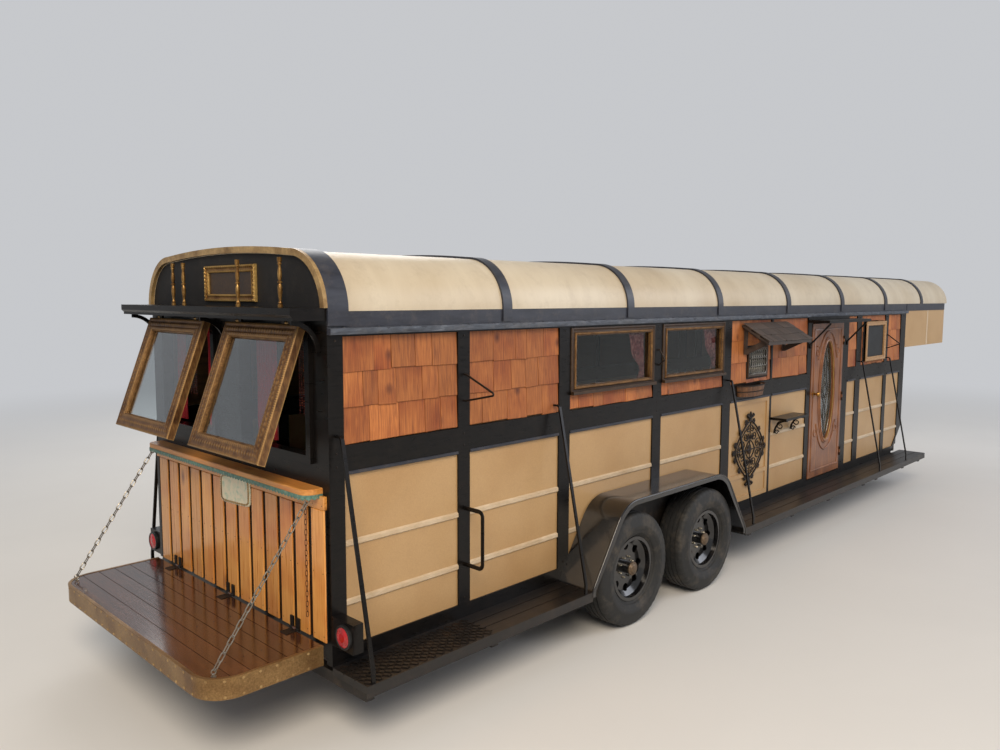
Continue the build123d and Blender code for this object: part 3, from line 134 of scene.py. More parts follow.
def boards(low, high, round=0.002):
    # boxes whose edges are cut off at 45 degrees: every corner becomes three points, one on each face
    low, high = np.broadcast_arrays(np.atleast_2d(np.asarray(low, float)), np.atleast_2d(np.asarray(high, float)))
    signs = np.array([[(n >> k) & 1 for k in range(3)] for n in range(8)])
    pick = signs[:, None, :].repeat(3, 1)  # corner, face it lies on, axis
    edge = (1 - 2 * pick) * (1 - np.eye(3, dtype=int))[None]
    cut = np.minimum(round, (high - low).min(1) * 0.45)[:, None, None, None]
    p = np.where(pick[None], high[:, None, None], low[:, None, None]) + edge[None] * cut
    cube = {0: [0, 2, 6, 4], 1: [0, 1, 5, 4], 2: [0, 1, 3, 2]}
    quads, tris = [], [[3 * n, 3 * n + 1, 3 * n + 2] for n in range(8)]
    for axis, ring in cube.items():
        for side in (0, 1 << axis):
            quads.append([3 * (n | side) + axis for n in ring])
    for n in range(8):
        for axis in range(3):
            m = n | (1 << axis)
            if m != n:
                a, b = [k for k in range(3) if k != axis]
                quads.append([3 * n + a, 3 * m + a, 3 * m + b, 3 * n + b])
    count = len(low)
    return p.reshape(-1, 3), many(24, np.array(quads), count), many(24, np.array(tris), count)


def turned(profile, centre, axis=1, sides=48, outward=1):
    # a profile of (distance along the axis, radius) carried round it: point = centre + axis * a + radius * circle
    a, r = np.array(profile, float).T
    angle = fullTurn(sides)
    other = [k for k in range(3) if k != axis]
    p = np.zeros((len(a), sides, 3))
    p[..., axis] = outward * a[:, None]
    p[..., other[0]] = r[:, None] * np.cos(angle)
    p[..., other[1]] = r[:, None] * np.sin(angle)
    return p.reshape(-1, 3) + np.asarray(centre), gridFaces(len(a), sides, wrapCols=True)


def along(path, radius, sides=8, closed=False, flat=1.0, up=(0, 0, 1)):
    # round or flattened bar along points: each point's ring stands square to the direction there
    path = np.asarray(path, float)
    ahead = np.roll(path, -1, 0) - np.roll(path, 1, 0)
    if not closed:
        ahead[0], ahead[-1] = path[1] - path[0], path[-1] - path[-2]
    ahead /= np.linalg.norm(ahead, axis=1)[:, None]
    sideways = np.cross(ahead, np.asarray(up, float))
    sideways /= np.maximum(np.linalg.norm(sideways, axis=1), 1e-9)[:, None]
    upright = np.cross(sideways, ahead)
    angle = fullTurn(sides) + np.pi / sides
    radius = np.broadcast_to(np.asarray(radius, float), len(path))[:, None, None]
    ring = np.cos(angle)[None, :, None] * sideways[:, None] + flat * np.sin(angle)[None, :, None] * upright[:, None]
    p = (path[:, None] + radius * ring).reshape(-1, 3)
    faces = gridFaces(len(path), sides, wrapRows=closed, wrapCols=True)
    if closed:
        return p, faces
    caps = np.array([np.arange(sides)[::-1], (len(path) - 1) * sides + np.arange(sides)])
    return p, faces, caps


def rounded(points, radii, steps=6):
    # straight runs with their corners rounded: each corner becomes an arc that touches both runs
    points = np.asarray(points, float)
    out = [points[0]]
    radii = np.broadcast_to(radii, len(points) - 2)
    for before, corner, after, radius in zip(points[:-2], points[1:-1], points[2:], radii):
        a = (before - corner) / np.linalg.norm(before - corner)
        b = (after - corner) / np.linalg.norm(after - corner)
        half = np.arccos(np.clip(a @ b, -1, 1)) / 2
        bisector = (a + b) / np.linalg.norm(a + b)
        centre = corner + bisector * radius / np.sin(half)
        start, end = corner + a * radius / np.tan(half) - centre, corner + b * radius / np.tan(half) - centre
        t = np.linspace(0, 1, steps + 1)[:, None]
        swing = np.pi - 2 * half
        out.extend(centre + (np.sin((1 - t) * swing) * start + np.sin(t * swing) * end) / np.sin(swing))
    out.append(points[-1])
    return np.array(out)


def dense(path, step):
    # the same line with points this far apart
    path = np.asarray(path, float)
    length = np.r_[0, np.cumsum(np.linalg.norm(np.diff(path, axis=0), axis=1))]
    place = np.linspace(0, length[-1], max(2, int(round(length[-1] / step)) + 1))
    return np.stack([np.interp(place, length, path[:, k]) for k in range(3)], -1)


def moulding(low, high, profile, plane, steps=1, carve=None):
    # picture frame: a profile of (inset, height) carried round a rectangle, corners mitred by the inset itself.
    # plane turns (u, v, height) into a place; carve(distance along the side, inset) adds height
    inset, rise = np.array(profile, float).T
    t = np.linspace(0, 1, steps + 1)[:-1]
    (u0, v0), (u1, v1) = low, high
    corners = [((u0, v0), (1, 1), (u1, v0), (-1, 1)), ((u1, v0), (-1, 1), (u1, v1), (-1, -1)),
               ((u1, v1), (-1, -1), (u0, v1), (1, -1)), ((u0, v1), (1, -1), (u0, v0), (1, 1))]
    rows = []
    for (ax, ay), (bx, by), (cx, cy), (dx, dy) in corners:
        start = np.stack([ax + bx * inset, ay + by * inset], -1)
        end = np.stack([cx + dx * inset, cy + dy * inset], -1)
        place = start[None] * (1 - t[:, None, None]) + end[None] * t[:, None, None]
        middle = (start + end) / 2
        run = np.linalg.norm(place - middle[None], axis=-1) * np.where(t < 0.5, -1, 1)[:, None]
        height = rise[None] + (carve(run, inset[None]) if carve else 0 * run)
        rows.append(np.concatenate([place, height[..., None]], -1))
    p = np.concatenate(rows)
    return plane(p.reshape(-1, 3)), gridFaces(p.shape[0], p.shape[1], wrapRows=True, wrapCols=True)


def wallPlane(side, face):
    # (along X, height Z, outwards) on a side wall whose face stands at this distance from the middle
    return lambda p: np.stack([p[:, 0], side * (face + p[:, 2]), p[:, 1]], -1)


def rearPlane(x):
    # (along Y, height Z, outwards to the rear) on the rear wall
    return lambda p: np.stack([x - p[:, 2], p[:, 0], p[:, 1]], -1)


def linear(shade):
    # sRGB hex to linear colour
    c = np.array([int(shade[k:k + 2], 16) for k in (1, 3, 5)]) / 255
    return (*np.where(c <= 0.04045, c / 12.92, ((c + 0.055) / 1.055) ** 2.4), 1.0)


def addNode(tree, kind, settings=None, links=None):
    # one shader node with its settings, on sockets or on itself, and its links {input: (node, output)}
    node = tree.nodes.new("ShaderNode" + kind)
    for key, value in (settings or {}).items():
        if isinstance(key, int) or key in node.inputs:
            node.inputs[key].default_value = value
        else:
            setattr(node, key, value)
    for key, (source, output) in (links or {}).items():
        tree.links.new(source.outputs[output], node.inputs[key])
    return node


def setRamp(node, stops):
    # colour stops of a ramp from (place, sRGB hex)
    ramp = node.color_ramp
    while len(ramp.elements) > 1:
        ramp.elements.remove(ramp.elements[-1])
    for n, (place, shade) in enumerate(stops):
        element = ramp.elements.new(place) if n else ramp.elements[0]
        element.position = place
        element.color = linear(shade)


# shared by all finishes: where a pattern starts, where it is full and how strong it gets; how far each board's grain
# is moved along; roughness of varnish
pattern = {"mottle": (0.42, 0.72, 0.8), "knot": (0.04, 0.21), "dirt": (0.5, 0.75), "wear": (0.512, 0.585, 0.8),
           "shift": (7.3, 3.1, 5.7), "coatRough": 0.12}


def finish(name, shades, grain=40, fine=4, mottle=1.5, mottleShade=None, rough=(0.4, 0.6), bump=0.0005,
           metal=0.0, coat=0.0, tones=0.0, planks=None, knots=None, dirt=None, dirtAmount=0.35, sheen=0.0, warp=0.4,
           wear=None, specular=0.5):
    # colour from a stretched noise through the shades, a slow mottle over it, roughness and bump from the same grain;
    # grain is in cycles a metre, one number or one for each axis; tones is how far each board's own tone shifts and
    # lightens it, read from the piece's tone attribute or, with planks = (axis, pitch, start), from which board a
    # point lies on; knots = (cells a metre along each axis, shade); wear is a paler shade rubbed on the convex edges
    material = bpy.data.materials.new(name)
    material.use_nodes = True
    tree = material.node_tree
    tree.nodes.clear()
    out = addNode(tree, "OutputMaterial")
    shader = addNode(tree, "BsdfPrincipled", {"Metallic": metal, "Coat Weight": coat, "Sheen Weight": sheen,
                     "Coat Roughness": pattern["coatRough"], "Specular IOR Level": specular})
    tree.links.new(shader.outputs[0], out.inputs[0])
    place = (addNode(tree, "TexCoord"), "Object")
    source = place
    if tones:
        if planks:
            axis, pitch, start = planks
            parted = addNode(tree, "SeparateXYZ", None, {0: place})
            offset = addNode(tree, "Math", {"operation": "SUBTRACT", 1: start}, {0: (parted, axis)})
            share = addNode(tree, "Math", {"operation": "DIVIDE", 1: pitch}, {0: (offset, 0)})
            board = addNode(tree, "Math", {"operation": "FLOOR"}, {0: (share, 0)})
            tone = addNode(tree, "TexWhiteNoise", {"noise_dimensions": "1D"}, {"W": (board, 0)})
            toneOut, toneWay = "Value", "Color"
        else:
            tone = addNode(tree, "Attribute", {"attribute_name": "tone"})
            toneOut, toneWay = "Fac", "Vector"
        shift = addNode(tree, "VectorMath", {"operation": "MULTIPLY", 1: pattern["shift"]}, {0: (tone, toneWay)})
        source = (addNode(tree, "VectorMath", {"operation": "ADD"}, {0: place, 1: (shift, "Vector")}), "Vector")
    scale = grain if isinstance(grain, tuple) else (grain,) * 3
    scaled = addNode(tree, "Mapping", {"Scale": scale}, {"Vector": source})
    noise = addNode(tree, "TexNoise", {"Scale": 1.0, "Detail": fine, "Roughness": 0.6, "Distortion": warp},
                    {"Vector": (scaled, "Vector")})
    ramp = addNode(tree, "ValToRGB", None, {"Fac": (noise, "Fac")})
    setRamp(ramp, shades)
    layers = []  # what lies over the ramp's colour, in order: (how it blends, shade, node that says how much)
    if mottleShade:
        slow = addNode(tree, "TexNoise", {"Scale": mottle, "Detail": 3.0}, {"Vector": source})
        low, high, most = pattern["mottle"]
        amount = addNode(tree, "MapRange", {"From Min": low, "From Max": high, "To Max": most},
                         {"Value": (slow, "Fac")})
        layers.append(("MULTIPLY", mottleShade, amount))
    if knots:
        cells = addNode(tree, "Mapping", {"Scale": knots[0]}, {"Vector": source})
        spots = addNode(tree, "TexVoronoi", {"Scale": 1.0, "Randomness": 1.0}, {"Vector": (cells, "Vector")})
        low, high = pattern["knot"]
        near = addNode(tree, "MapRange", {"From Min": low, "From Max": high, "To Min": 1.0, "To Max": 0.0},
                       {"Value": (spots, "Distance")})
        some = addNode(tree, "Math", {"operation": "GREATER_THAN", 1: 0.5}, {0: (spots, "Color")})
        amount = addNode(tree, "Math", {"operation": "MULTIPLY"}, {0: (near, 0), 1: (some, 0)})
        layers.append(("MIX", knots[1], amount))
    if tones:
        light = addNode(tree, "MapRange", {"To Min": 1 - tones, "To Max": 1 + tones}, {"Value": (tone, toneOut)})
        layers.append((None, None, light))
    if dirt:
        patches = addNode(tree, "TexNoise", {"Scale": 9.0, "Detail": 8.0, "Roughness": 0.75}, {"Vector": place})
        low, high = pattern["dirt"]
        amount = addNode(tree, "MapRange", {"From Min": low, "From Max": high, "To Max": dirtAmount},
                         {"Value": (patches, "Fac")})
        layers.append(("MIX", dirt, amount))
    if wear:
        surface = addNode(tree, "NewGeometry")
        low, high, most = pattern["wear"]
        amount = addNode(tree, "MapRange", {"From Min": low, "From Max": high, "To Max": most},
                         {"Value": (surface, "Pointiness")})
        layers.append(("MIX", wear, amount))
    colour = (ramp, "Color")
    for blend, shade, amount in layers:
        if shade:
            colour = (addNode(tree, "Mix", {"data_type": "RGBA", "blend_type": blend, 7: linear(shade)},
                              {0: (amount, 0), 6: colour}), 2)
        else:  # each board's own lightness
            colour = (addNode(tree, "HueSaturation", None, {"Color": colour, "Value": (amount, 0)}), "Color")
    tree.links.new(colour[0].outputs[colour[1]], shader.inputs["Base Color"])
    matt = addNode(tree, "MapRange", {"To Min": rough[0], "To Max": rough[1]}, {"Value": (noise, "Fac")})
    tree.links.new(matt.outputs[0], shader.inputs["Roughness"])
    if bump:
        raised = addNode(tree, "Bump", {"Strength": 1.0, "Distance": bump}, {"Height": (noise, "Fac")})
        tree.links.new(raised.outputs[0], shader.inputs["Normal"])
    return material


# black gloss enamel brushed on timber and steel: faint brush lines and pale dust
blackEnamel = finish("brushed_black_enamel", [(0.3, "#0b0a09"), (0.7, "#141110")], grain=(9, 9, 60), rough=(0.2, 0.4),
                     bump=0.0005, dirt="#4a3c2e", dirtAmount=0.10, specular=0.22)
# the same paint under the floor, rolled on and dusty from the road
chassisPaint = finish("dusty_chassis_paint", [(0.3, "#171412"), (0.7, "#26211d")], grain=30,
                      rough=(0.5, 0.75), bump=0.0006, dirt="#6b5844", dirtAmount=0.5)
# satin alkyd paint sprayed on pressed steel panels: almost even, softly mottled
tanPaint = finish("sprayed_tan_panel_paint", [(0.25, "#ae8c61"), (0.75, "#b9976a")], grain=160, fine=2,
                  rough=(0.3, 0.42), bump=0.0001, mottle=1.4, mottleShade="#e6dac6", dirt="#8b6f4b", dirtAmount=0.14)
# the same paint made paler on the pressed ribs and the nose's seams; on the ribs a painted highlight of their upper
# faces
ribPaint = finish("pale_rib_paint_painted_highlight", [(0.3, "#bfa98a"), (0.7, "#cfbca1")], grain=(20, 60, 60),
                  rough=(0.3, 0.42), bump=0.0001, mottle=3, mottleShade="#d9c8ae")
# weathered cream coating on the roof skin: rolled on, stained in long streaks down the arch
roofCoat = finish("weathered_cream_roof_coating", [(0.25, "#beb19a"), (0.8, "#cfc4ae")], grain=(5, 1.2, 1.2), fine=6,
                  rough=(0.3, 0.46), bump=0.0008, mottle=0.9, mottleShade="#dccfba", dirt="#8d7d68", dirtAmount=0.3)
# red cedar, sawn and oiled: fine grain down each shingle, each one its own tone, with knots here and there
cedar = finish("sawn_red_cedar", [(0.2, "#6b3a1a"), (0.42, "#97582a"), (0.6, "#ae6a34"), (0.85, "#c28046")],
               grain=(130, 130, 5), fine=5, rough=(0.55, 0.75), bump=0.0009, tones=0.22, mottle=3.5,
               mottleShade="#b98660", knots=((6.5, 6.5, 5.0), "#562710"), warp=0.5)
# the same cedar gone grey-brown on the awning, where it lies in the weather
darkCedar = finish("weathered_dark_cedar", [(0.25, "#2a211c"), (0.6, "#4b3d34"), (0.85, "#6d5b4c")],
                   grain=(110, 12, 12), fine=6, rough=(0.5, 0.75), bump=0.0012, tones=0.28)
# coopered tub of brown oiled staves
tubWood = finish("oiled_oak_staves", [(0.25, "#3f2614"), (0.6, "#6a4526"), (0.85, "#87603a")], grain=(60, 60, 6),
                 fine=5, bump=0.0006, tones=0.2)
# clear-grained pine under yellow varnish, with small knots
pine = finish("varnished_pine", [(0.25, "#b9722c"), (0.5, "#d59448"), (0.8, "#e2aa62")], grain=(80, 80, 3), fine=5,
              rough=(0.22, 0.36), bump=0.0003, coat=0.45, tones=0.16, mottle=3, mottleShade="#dcae78",
              knots=((7.0, 7.0, 3.2), "#7a431a"))
# the same wood on the counter, whose grain runs across the wagon
counterPine = finish("varnished_counter_board", [(0.25, "#b4702e"), (0.5, "#d18d44"), (0.8, "#e1a760")],
                     grain=(60, 3, 60), fine=5, rough=(0.3, 0.45), bump=0.0003, coat=0.2, mottle=3,
                     mottleShade="#dcae78", tones=0.1, planks=("X", 0.11, -4.58), knots=((7.0, 3.0, 7.0), "#74401a"))
# and on the rail over the slats, one board along the wagon's width
railPine = finish("varnished_rail_board", [(0.25, "#b9722c"), (0.5, "#d59448"), (0.8, "#e2aa62")], grain=(80, 3, 80),
                  fine=5, rough=(0.22, 0.36), bump=0.0003, coat=0.45, mottle=3, mottleShade="#dcae78",
                  knots=((7.0, 3.2, 7.0), "#7a431a"))
# dark stained deck boards under thick gloss varnish, worn through to brown in places
deckWood = finish("glossy_stained_deck_boards", [(0.25, "#2a150b"), (0.55, "#4a2814"), (0.85, "#6b3b1d")],
                  grain=(60, 3, 60), fine=5, rough=(0.1, 0.26), coat=0.7, tones=0.34,
                  planks=("X", 0.096, -4.618), dirt="#7b6047", dirtAmount=0.16)
# painted boards of the running boards, black and scuffed by shoes
boardPaint = finish("scuffed_black_board_paint", [(0.25, "#0f0d0c"), (0.6, "#191513"), (0.85, "#28201b")],
                    grain=(3, 60, 60), fine=5, rough=(0.28, 0.5), bump=0.0006, dirt="#5a4836", dirtAmount=0.22)
# plywood floor seen from below
plywood = finish("plywood_floor", [(0.3, "#5d4226"), (0.7, "#7a5a36")], grain=(3, 40, 40), rough=(0.7, 0.85),
                 dirt="#3a3026", dirtAmount=0.4)
# antique gilt over carved gesso: worn to brown in patches, bright on the raised parts
gilt = finish("worn_antique_gilt", [(0.2, "#4a2f16"), (0.5, "#8a6432"), (0.8, "#b98f4d")], grain=120,
              fine=6, rough=(0.3, 0.55), bump=0.0006, metal=0.75, mottle=14, mottleShade="#8a6238", wear="#d8b56e")
# the same gilt, older and browner, next to the glass of the awning windows
sightGilt = finish("browned_antique_gilt", [(0.2, "#3d2815"), (0.5, "#7a5832"), (0.8, "#a6834c")], grain=120,
                   fine=6, rough=(0.35, 0.6), bump=0.0006, metal=0.6, mottle=14, mottleShade="#8a6a42")
# dark stained and gilded turned wood of the spindles
spindleGilt = finish("rubbed_dark_gilt_turnings", [(0.2, "#563818"), (0.5, "#8f6b3a"), (0.8, "#c0a064")],
                     grain=(60, 60, 24), rough=(0.28, 0.45), bump=0.0003, metal=0.7, mottle=10,
                     mottleShade="#7c5c38")
# bronze-brown enamel on the carved window frames, gold rubbed on the high parts
carvedWood = finish("carved_bronze_painted_wood", [(0.2, "#3c2715"), (0.5, "#6d4c2c"), (0.8, "#96703f")],
                    grain=(90, 90, 30), fine=6, rough=(0.34, 0.55), bump=0.0006, metal=0.35, mottle=9,
                    mottleShade="#94744f", wear="#c49c5e")
# dark bronze wood of the side windows
darkBronze = finish("dark_bronze_painted_wood", [(0.25, "#241a12"), (0.6, "#43301f"), (0.85, "#5c4229")],
                    grain=(20, 90, 90), fine=5, rough=(0.3, 0.5), bump=0.0004, metal=0.3, dirt="#6b533a",
                    dirtAmount=0.2)
# hammered bronze paint on the deck's steel band
bronzeBand = finish("hammered_bronze_band", [(0.25, "#6f5430"), (0.6, "#96764b"), (0.85, "#ac8c5f")],
                    grain=120, fine=3, rough=(0.3, 0.5), bump=0.0016, metal=0.6, mottle=5,
                    mottleShade="#a38259", dirt="#4f3c25", dirtAmount=0.3)
# pressed steel grease caps of the hubs, browned by road dust
greaseCap = finish("dusty_pressed_steel_cap", [(0.3, "#4d4034"), (0.7, "#7d6a55")], grain=120, fine=3,
                   rough=(0.3, 0.5), bump=0.0006, metal=0.6, dirt="#4f3c25", dirtAmount=0.3)
# charcoal paint rolled on the gable board
charcoal = finish("rolled_charcoal_paint", [(0.3, "#131213"), (0.7, "#201f1f")], grain=130, fine=3,
                  rough=(0.55, 0.75), bump=0.0006, dirt="#4e453d", dirtAmount=0.22, specular=0.3)
# slate-blue coated metal of the roof straps and the eave band; on the lips over the panels its blue is painted sky
# reflection
slateMetal = finish("slate_coated_metal", [(0.3, "#1e2029"), (0.7, "#2f323d")], grain=(6, 30, 30),
                    rough=(0.3, 0.48), bump=0.0003, dirt="#75695b", dirtAmount=0.25)
# tarred and painted batten of the drip rail, rough with old filler
tarBatten = finish("tarred_drip_batten", [(0.25, "#23262d"), (0.6, "#474d58"), (0.85, "#888f9a")], grain=(12, 60, 60),
                   fine=6, rough=(0.35, 0.6), bump=0.002, dirt="#7c7a78", dirtAmount=0.35)
# bare bronze strip round the rear arch
archBronze = finish("rubbed_bronze_strip", [(0.3, "#9c8054"), (0.7, "#bf9f6c")], grain=50, rough=(0.3, 0.45),
                    metal=0.35, mottle=8, mottleShade="#a08a64")
# red oak door, moulded and stained
doorWood = finish("stained_oak_door", [(0.25, "#573018"), (0.5, "#85532f"), (0.8, "#a67143")], grain=(60, 60, 3),
                  fine=6, rough=(0.26, 0.42), coat=0.3, mottle=4, mottleShade="#a57a52")
# vulcanised tyre rubber, dull, with dust in the tread
rubber = finish("moulded_tyre_rubber", [(0.3, "#161616"), (0.7, "#232322")], grain=60, rough=(0.55, 0.78),
                bump=0.0003, dirt="#6f6353", dirtAmount=0.4)
# black stove enamel on the steel wheels and fenders
wheelPaint = finish("gloss_black_wheel_enamel", [(0.3, "#0b0b0c"), (0.7, "#161618")],
                    rough=(0.12, 0.24), bump=0.0001, coat=0.5, dirt="#6b5c48", dirtAmount=0.14)
# wrought iron, blacked and a little rusty
iron = finish("blacked_wrought_iron", [(0.3, "#15110e"), (0.7, "#2c241e")], grain=70, rough=(0.42, 0.62),
              bump=0.0006, metal=0.5, dirt="#5a3a22", dirtAmount=0.4)
# hot-dip galvanised chain, and thin wire of the grille
zinc = finish("galvanised_steel_chain", [(0.3, "#7d786e"), (0.7, "#aaa497")], grain=150, rough=(0.26, 0.42),
              metal=0.95, bump=0.0002)
# rusty thin chain
rustChain = finish("rusted_thin_chain", [(0.3, "#3a2113"), (0.7, "#6d4226")], grain=150, rough=(0.5, 0.7),
                   metal=0.6, bump=0.0003)
# brass of the door knob and the curtain rods, dulled by age
brass = finish("aged_brass", [(0.3, "#8a6230"), (0.7, "#b98d4c")], grain=90, rough=(0.22, 0.4), metal=0.95,
               mottle=20, mottleShade="#94703f")
# teal paint worn to cream on the scalloped metal edging
tealEdge = finish("worn_teal_metal_edging", [(0.3, "#3d5f56"), (0.55, "#5f8579"), (0.8, "#b9b799")],
                  grain=60, rough=(0.4, 0.55), bump=0.0004, metal=0.2)
# cast plate painted cream with green left in its hollows
creamPlate = finish("painted_cast_plate", [(0.26, "#8db5a0"), (0.40, "#cfd3b8"), (0.55, "#e6dcc0")],
                    grain=30, fine=5, rough=(0.36, 0.5), bump=0.0006)
# red ribbed acrylic lens
lampRed = finish("moulded_red_acrylic", [(0.3, "#8f0c10"), (0.7, "#b81519")], grain=30, rough=(0.12, 0.2),
                 coat=0.6, bump=0)
# black moulded rubber ring of the lamps
lampRing = finish("moulded_black_rubber_ring", [(0.3, "#121212"), (0.7, "#1d1d1d")], grain=50,
                  rough=(0.4, 0.55))
# crimson velvet of the rear curtains: pile catches light on the folds
velvet = finish("crimson_velvet", [(0.3, "#a50d1f"), (0.7, "#d21a2c")], grain=220, fine=3,
                rough=(0.7, 0.88), bump=0.0003, sheen=0.6)
# woven rose-pink cotton of the side curtains, blotched with a darker all-over pattern
roseCotton = finish("printed_rose_cotton", [(0.38, "#7d2430"), (0.5, "#a8474c"), (0.62, "#cc8478")], grain=38,
                    fine=2, rough=(0.75, 0.9), bump=0.0002, sheen=0.4, warp=1.2)
# bleached oak of the blank board's frame
bleachedOak = finish("bleached_oak_frame", [(0.25, "#84633f"), (0.6, "#ab8459"), (0.85, "#c6a377")], grain=(20, 70, 70),
                     fine=5, rough=(0.4, 0.55), bump=0.0004)
# black oil-painted board, wiped
blankBoard = finish("black_chalkboard", [(0.3, "#16181a"), (0.7, "#222527")], grain=(25, 25, 60), rough=(0.6, 0.8),
                    bump=0.0002, mottle=6, mottleShade="#8d8f8c")
# faceted glass beads of dark red and amber
cutBeads = finish("faceted_garnet_beads", [(0.42, "#3c0f0c"), (0.55, "#7a2a1a"), (0.7, "#a8683a")], grain=45,
                  rough=(0.1, 0.2), bump=0, coat=0.5)
# lead cames
leadCame = finish("soft_lead_came", [(0.3, "#4b4741"), (0.7, "#6b665d")], grain=90, rough=(0.35, 0.5),
                  metal=0.8, bump=0.0002)


def clearGlass(name, shade, roughness, gloss):
    # float glass: clear, slightly tinted, with a faint ripple that bends the reflections
    material = bpy.data.materials.new(name)
    material.use_nodes = True
    tree = material.node_tree
    shader = tree.nodes["Principled BSDF"]
    for key, value in {"Base Color": linear(shade), "Roughness": roughness, "Transmission Weight": 1.0,
                       "IOR": 1.52, "Coat Weight": gloss, "Coat Roughness": 0.02}.items():
        shader.inputs[key].default_value = value
    place = addNode(tree, "TexCoord")
    ripple = addNode(tree, "TexNoise", {"Scale": 4.0, "Detail": 1.0}, {"Vector": (place, "Object")})
    raised = addNode(tree, "Bump", {"Strength": 0.3, "Distance": 0.002}, {"Height": (ripple, "Fac")})
    tree.links.new(raised.outputs[0], shader.inputs["Normal"])
    return material


windowGlass = clearGlass("float_window_glass", "#c3d0d6", 0.01, 1.0)
sideGlass = clearGlass("thin_window_glass", "#d2dbdd", 0.01, 0.0)
leadedGlass = clearGlass("seeded_leaded_glass", "#b9c8c6", 0.14, 0.5)
print("materials made:", len(bpy.data.materials))

# CAD pieces that keep their own shape, with the finish of each
kept = {
    blackEnamel: ("side_frame_left", "side_frame_right", "rear_wall", "front_wall", "canopy", "door_hood",
                  "lamp_boxes", "front_shelf"),
    chassisPaint: ("chassis_frame", "axles", "gooseneck", "landing_jacks", "coupler"),
    tanPaint: ("lower_panels", "side_hatch", "nose_shell"),
    charcoal: ("gable_board", "nose_gable", "upper_panels"),
    roofCoat: ("roof_shell",),
    slateMetal: ("roof_bows", "drip_rails"),
    archBronze: ("arch_trim",),
    gilt: ("gable_ornament",),
    darkBronze: ("side_windows",),
    carvedWood: ("awning_frame_left", "awning_frame_right"),
    windowGlass: ("awning_glass_left", "awning_glass_right"),
    sideGlass: ("side_glass",),
    leadedGlass: ("door_glass",),
    darkCedar: ("side_awning",),
    counterPine: ("counter",),
    deckWood: ("rear_deck",),
    boardPaint: ("running_boards",),
    bronzeBand: ("deck_band",),
    plywood: ("floor",),
    doorWood: ("entry_door",),
    brass: ("door_knob", "curtain_rods"),
    iron: ("hinges",),
    lampRed: ("tail_lamps",),
    blankBoard: ("sign_board",),
    wheelPaint: ("fenders",) + tuple(n for n in nodes if n.startswith("wheel_")),
}
for material, names in kept.items():
    for name in names:
        nodes[name].data.materials.clear()
        nodes[name].data.materials.append(material)

# bays of the right side as (start, end, filling), in millimetres ahead of the body's rear face
sideBays = [(90, 860, "shingle"), (950, 1740, "shingle"), (1850, 2810, "window"), (2920, 3835, "window"),
            (3965, 4690, "hatch"), (4725, 5460, "plain"), (5550, 6320, "door"), (6470, 6700, "plain"),
            (6830, 7545, "sign"), (7640, 8060, "plain")]
plates = {"hatch": (4243, 4636, 1.530, 1.820), "sign": (6890, 7485, 1.540, 1.976)}
# the left side has no door, hatch or sign: plain bays stand there
bays = [(side, start, end, filling if side < 0 or filling in ("window", "shingle") else "plain")
        for side in (-1, 1) for start, end, filling in sideBays]

# rows of sawn cedar of uneven widths: each row's butts lap the row below
shingles = {"widths": (0.085, 0.2), "butt": 0.013, "thinnest": 0.7, "head": 0.004, "gap": (0.0012, 0.0045),
            "lap": 0.02, "raggedness": 0.009, "tilt": 0.0025, "low": 1.498, "high": 2.04, "underWindow": 1.6,
            "courses": 3, "face": 0.984, "inner": 0.976, "narrowest": 0.03}


def shingleRow(x0, x1, v0, v1, plane, facts=shingles):
    # wedge-shaped shingles, thick at the butt; widths drawn until the row is full; plane takes (x, up, out)
    cuts = [x0]
    while len(cuts) == 1 or cuts[-1] < x1 - facts["widths"][0]:
        cuts.append(cuts[-1] + draw.uniform(*facts["widths"]))
    cuts = x0 + (np.array(cuts) - x0) * (x1 - x0) / (cuts[-1] - x0)
    count = len(cuts) - 1
    gap = draw.uniform(*facts["gap"], count + 1) / 2
    left, right = cuts[:-1] + gap[:-1], cuts[1:] - gap[1:]
    bottom = v0 + draw.uniform(0, facts["raggedness"], count)
    tilt = draw.uniform(-facts["tilt"], facts["tilt"], count)
    thick = facts["butt"] * draw.uniform(facts["thinnest"], 1.0, count)
    outline = [(0, bottom), (thick * 0.8, bottom), (thick, bottom + 0.003),
               ((thick + facts["head"]) / 2, (bottom + v1) / 2), (facts["head"], v1), (0, v1)]
    p = np.zeros((count, 2, 6, 3))
    for n, edge in enumerate((left, right)):
        for k, (out, level) in enumerate(outline):
            p[:, n, k] = stacked(edge, level + (2 * n - 1) * tilt * (k < 3), out)
    quads = gridFaces(2, 6, wrapCols=True)
    ends = np.array([[5, 4, 3, 2, 1, 0], [6, 7, 8, 9, 10, 11]])
    tone = np.repeat(draw.uniform(0, 1, count), 12)
    return (plane(p.reshape(-1, 3)), many(12, quads, count), many(12, ends, count)), tone


rows, sheathing = [], []
tall = (shingles["high"] - shingles["low"]) / shingles["courses"]
lowest, highest = shingles["low"], shingles["high"]
for side, start, end, filling in bays:
    if filling == "door":
        continue
    x0, x1 = at(start + 1), at(end - 1)
    areas = [(x0, x1, lowest, shingles["underWindow"] if filling == "window" else highest)]
    if filling in plates:
        left, right, low, high = plates[filling]
        left, right = at(left), at(right)
        areas = [(x0, left, lowest, highest), (right, x1, lowest, highest),
                 (left, right, lowest, low), (left, right, high, highest)]
    near, far = sorted((side * shingles["inner"], side * (shingles["face"] + 0.0006)))
    for a, b, bottom, top in areas:
        sheathing.append(boards((a, near, bottom), (b, far, top)))
        for k in range(shingles["courses"]):
            low = max(bottom, lowest + k * tall)
            high = min(top, lowest + (k + 1) * tall + shingles["lap"])
            if high - low > shingles["lap"] + 0.005 and b - a > shingles["narrowest"]:
                rows.append(shingleRow(a, b, low, high, wallPlane(side, shingles["face"])))
shapes, tones = zip(*rows)
makePiece("cedar_shingles", shapes, cedar, tone=np.concatenate(tones), replaces=("shingle_panels",), weld=False,
          sharp=20)
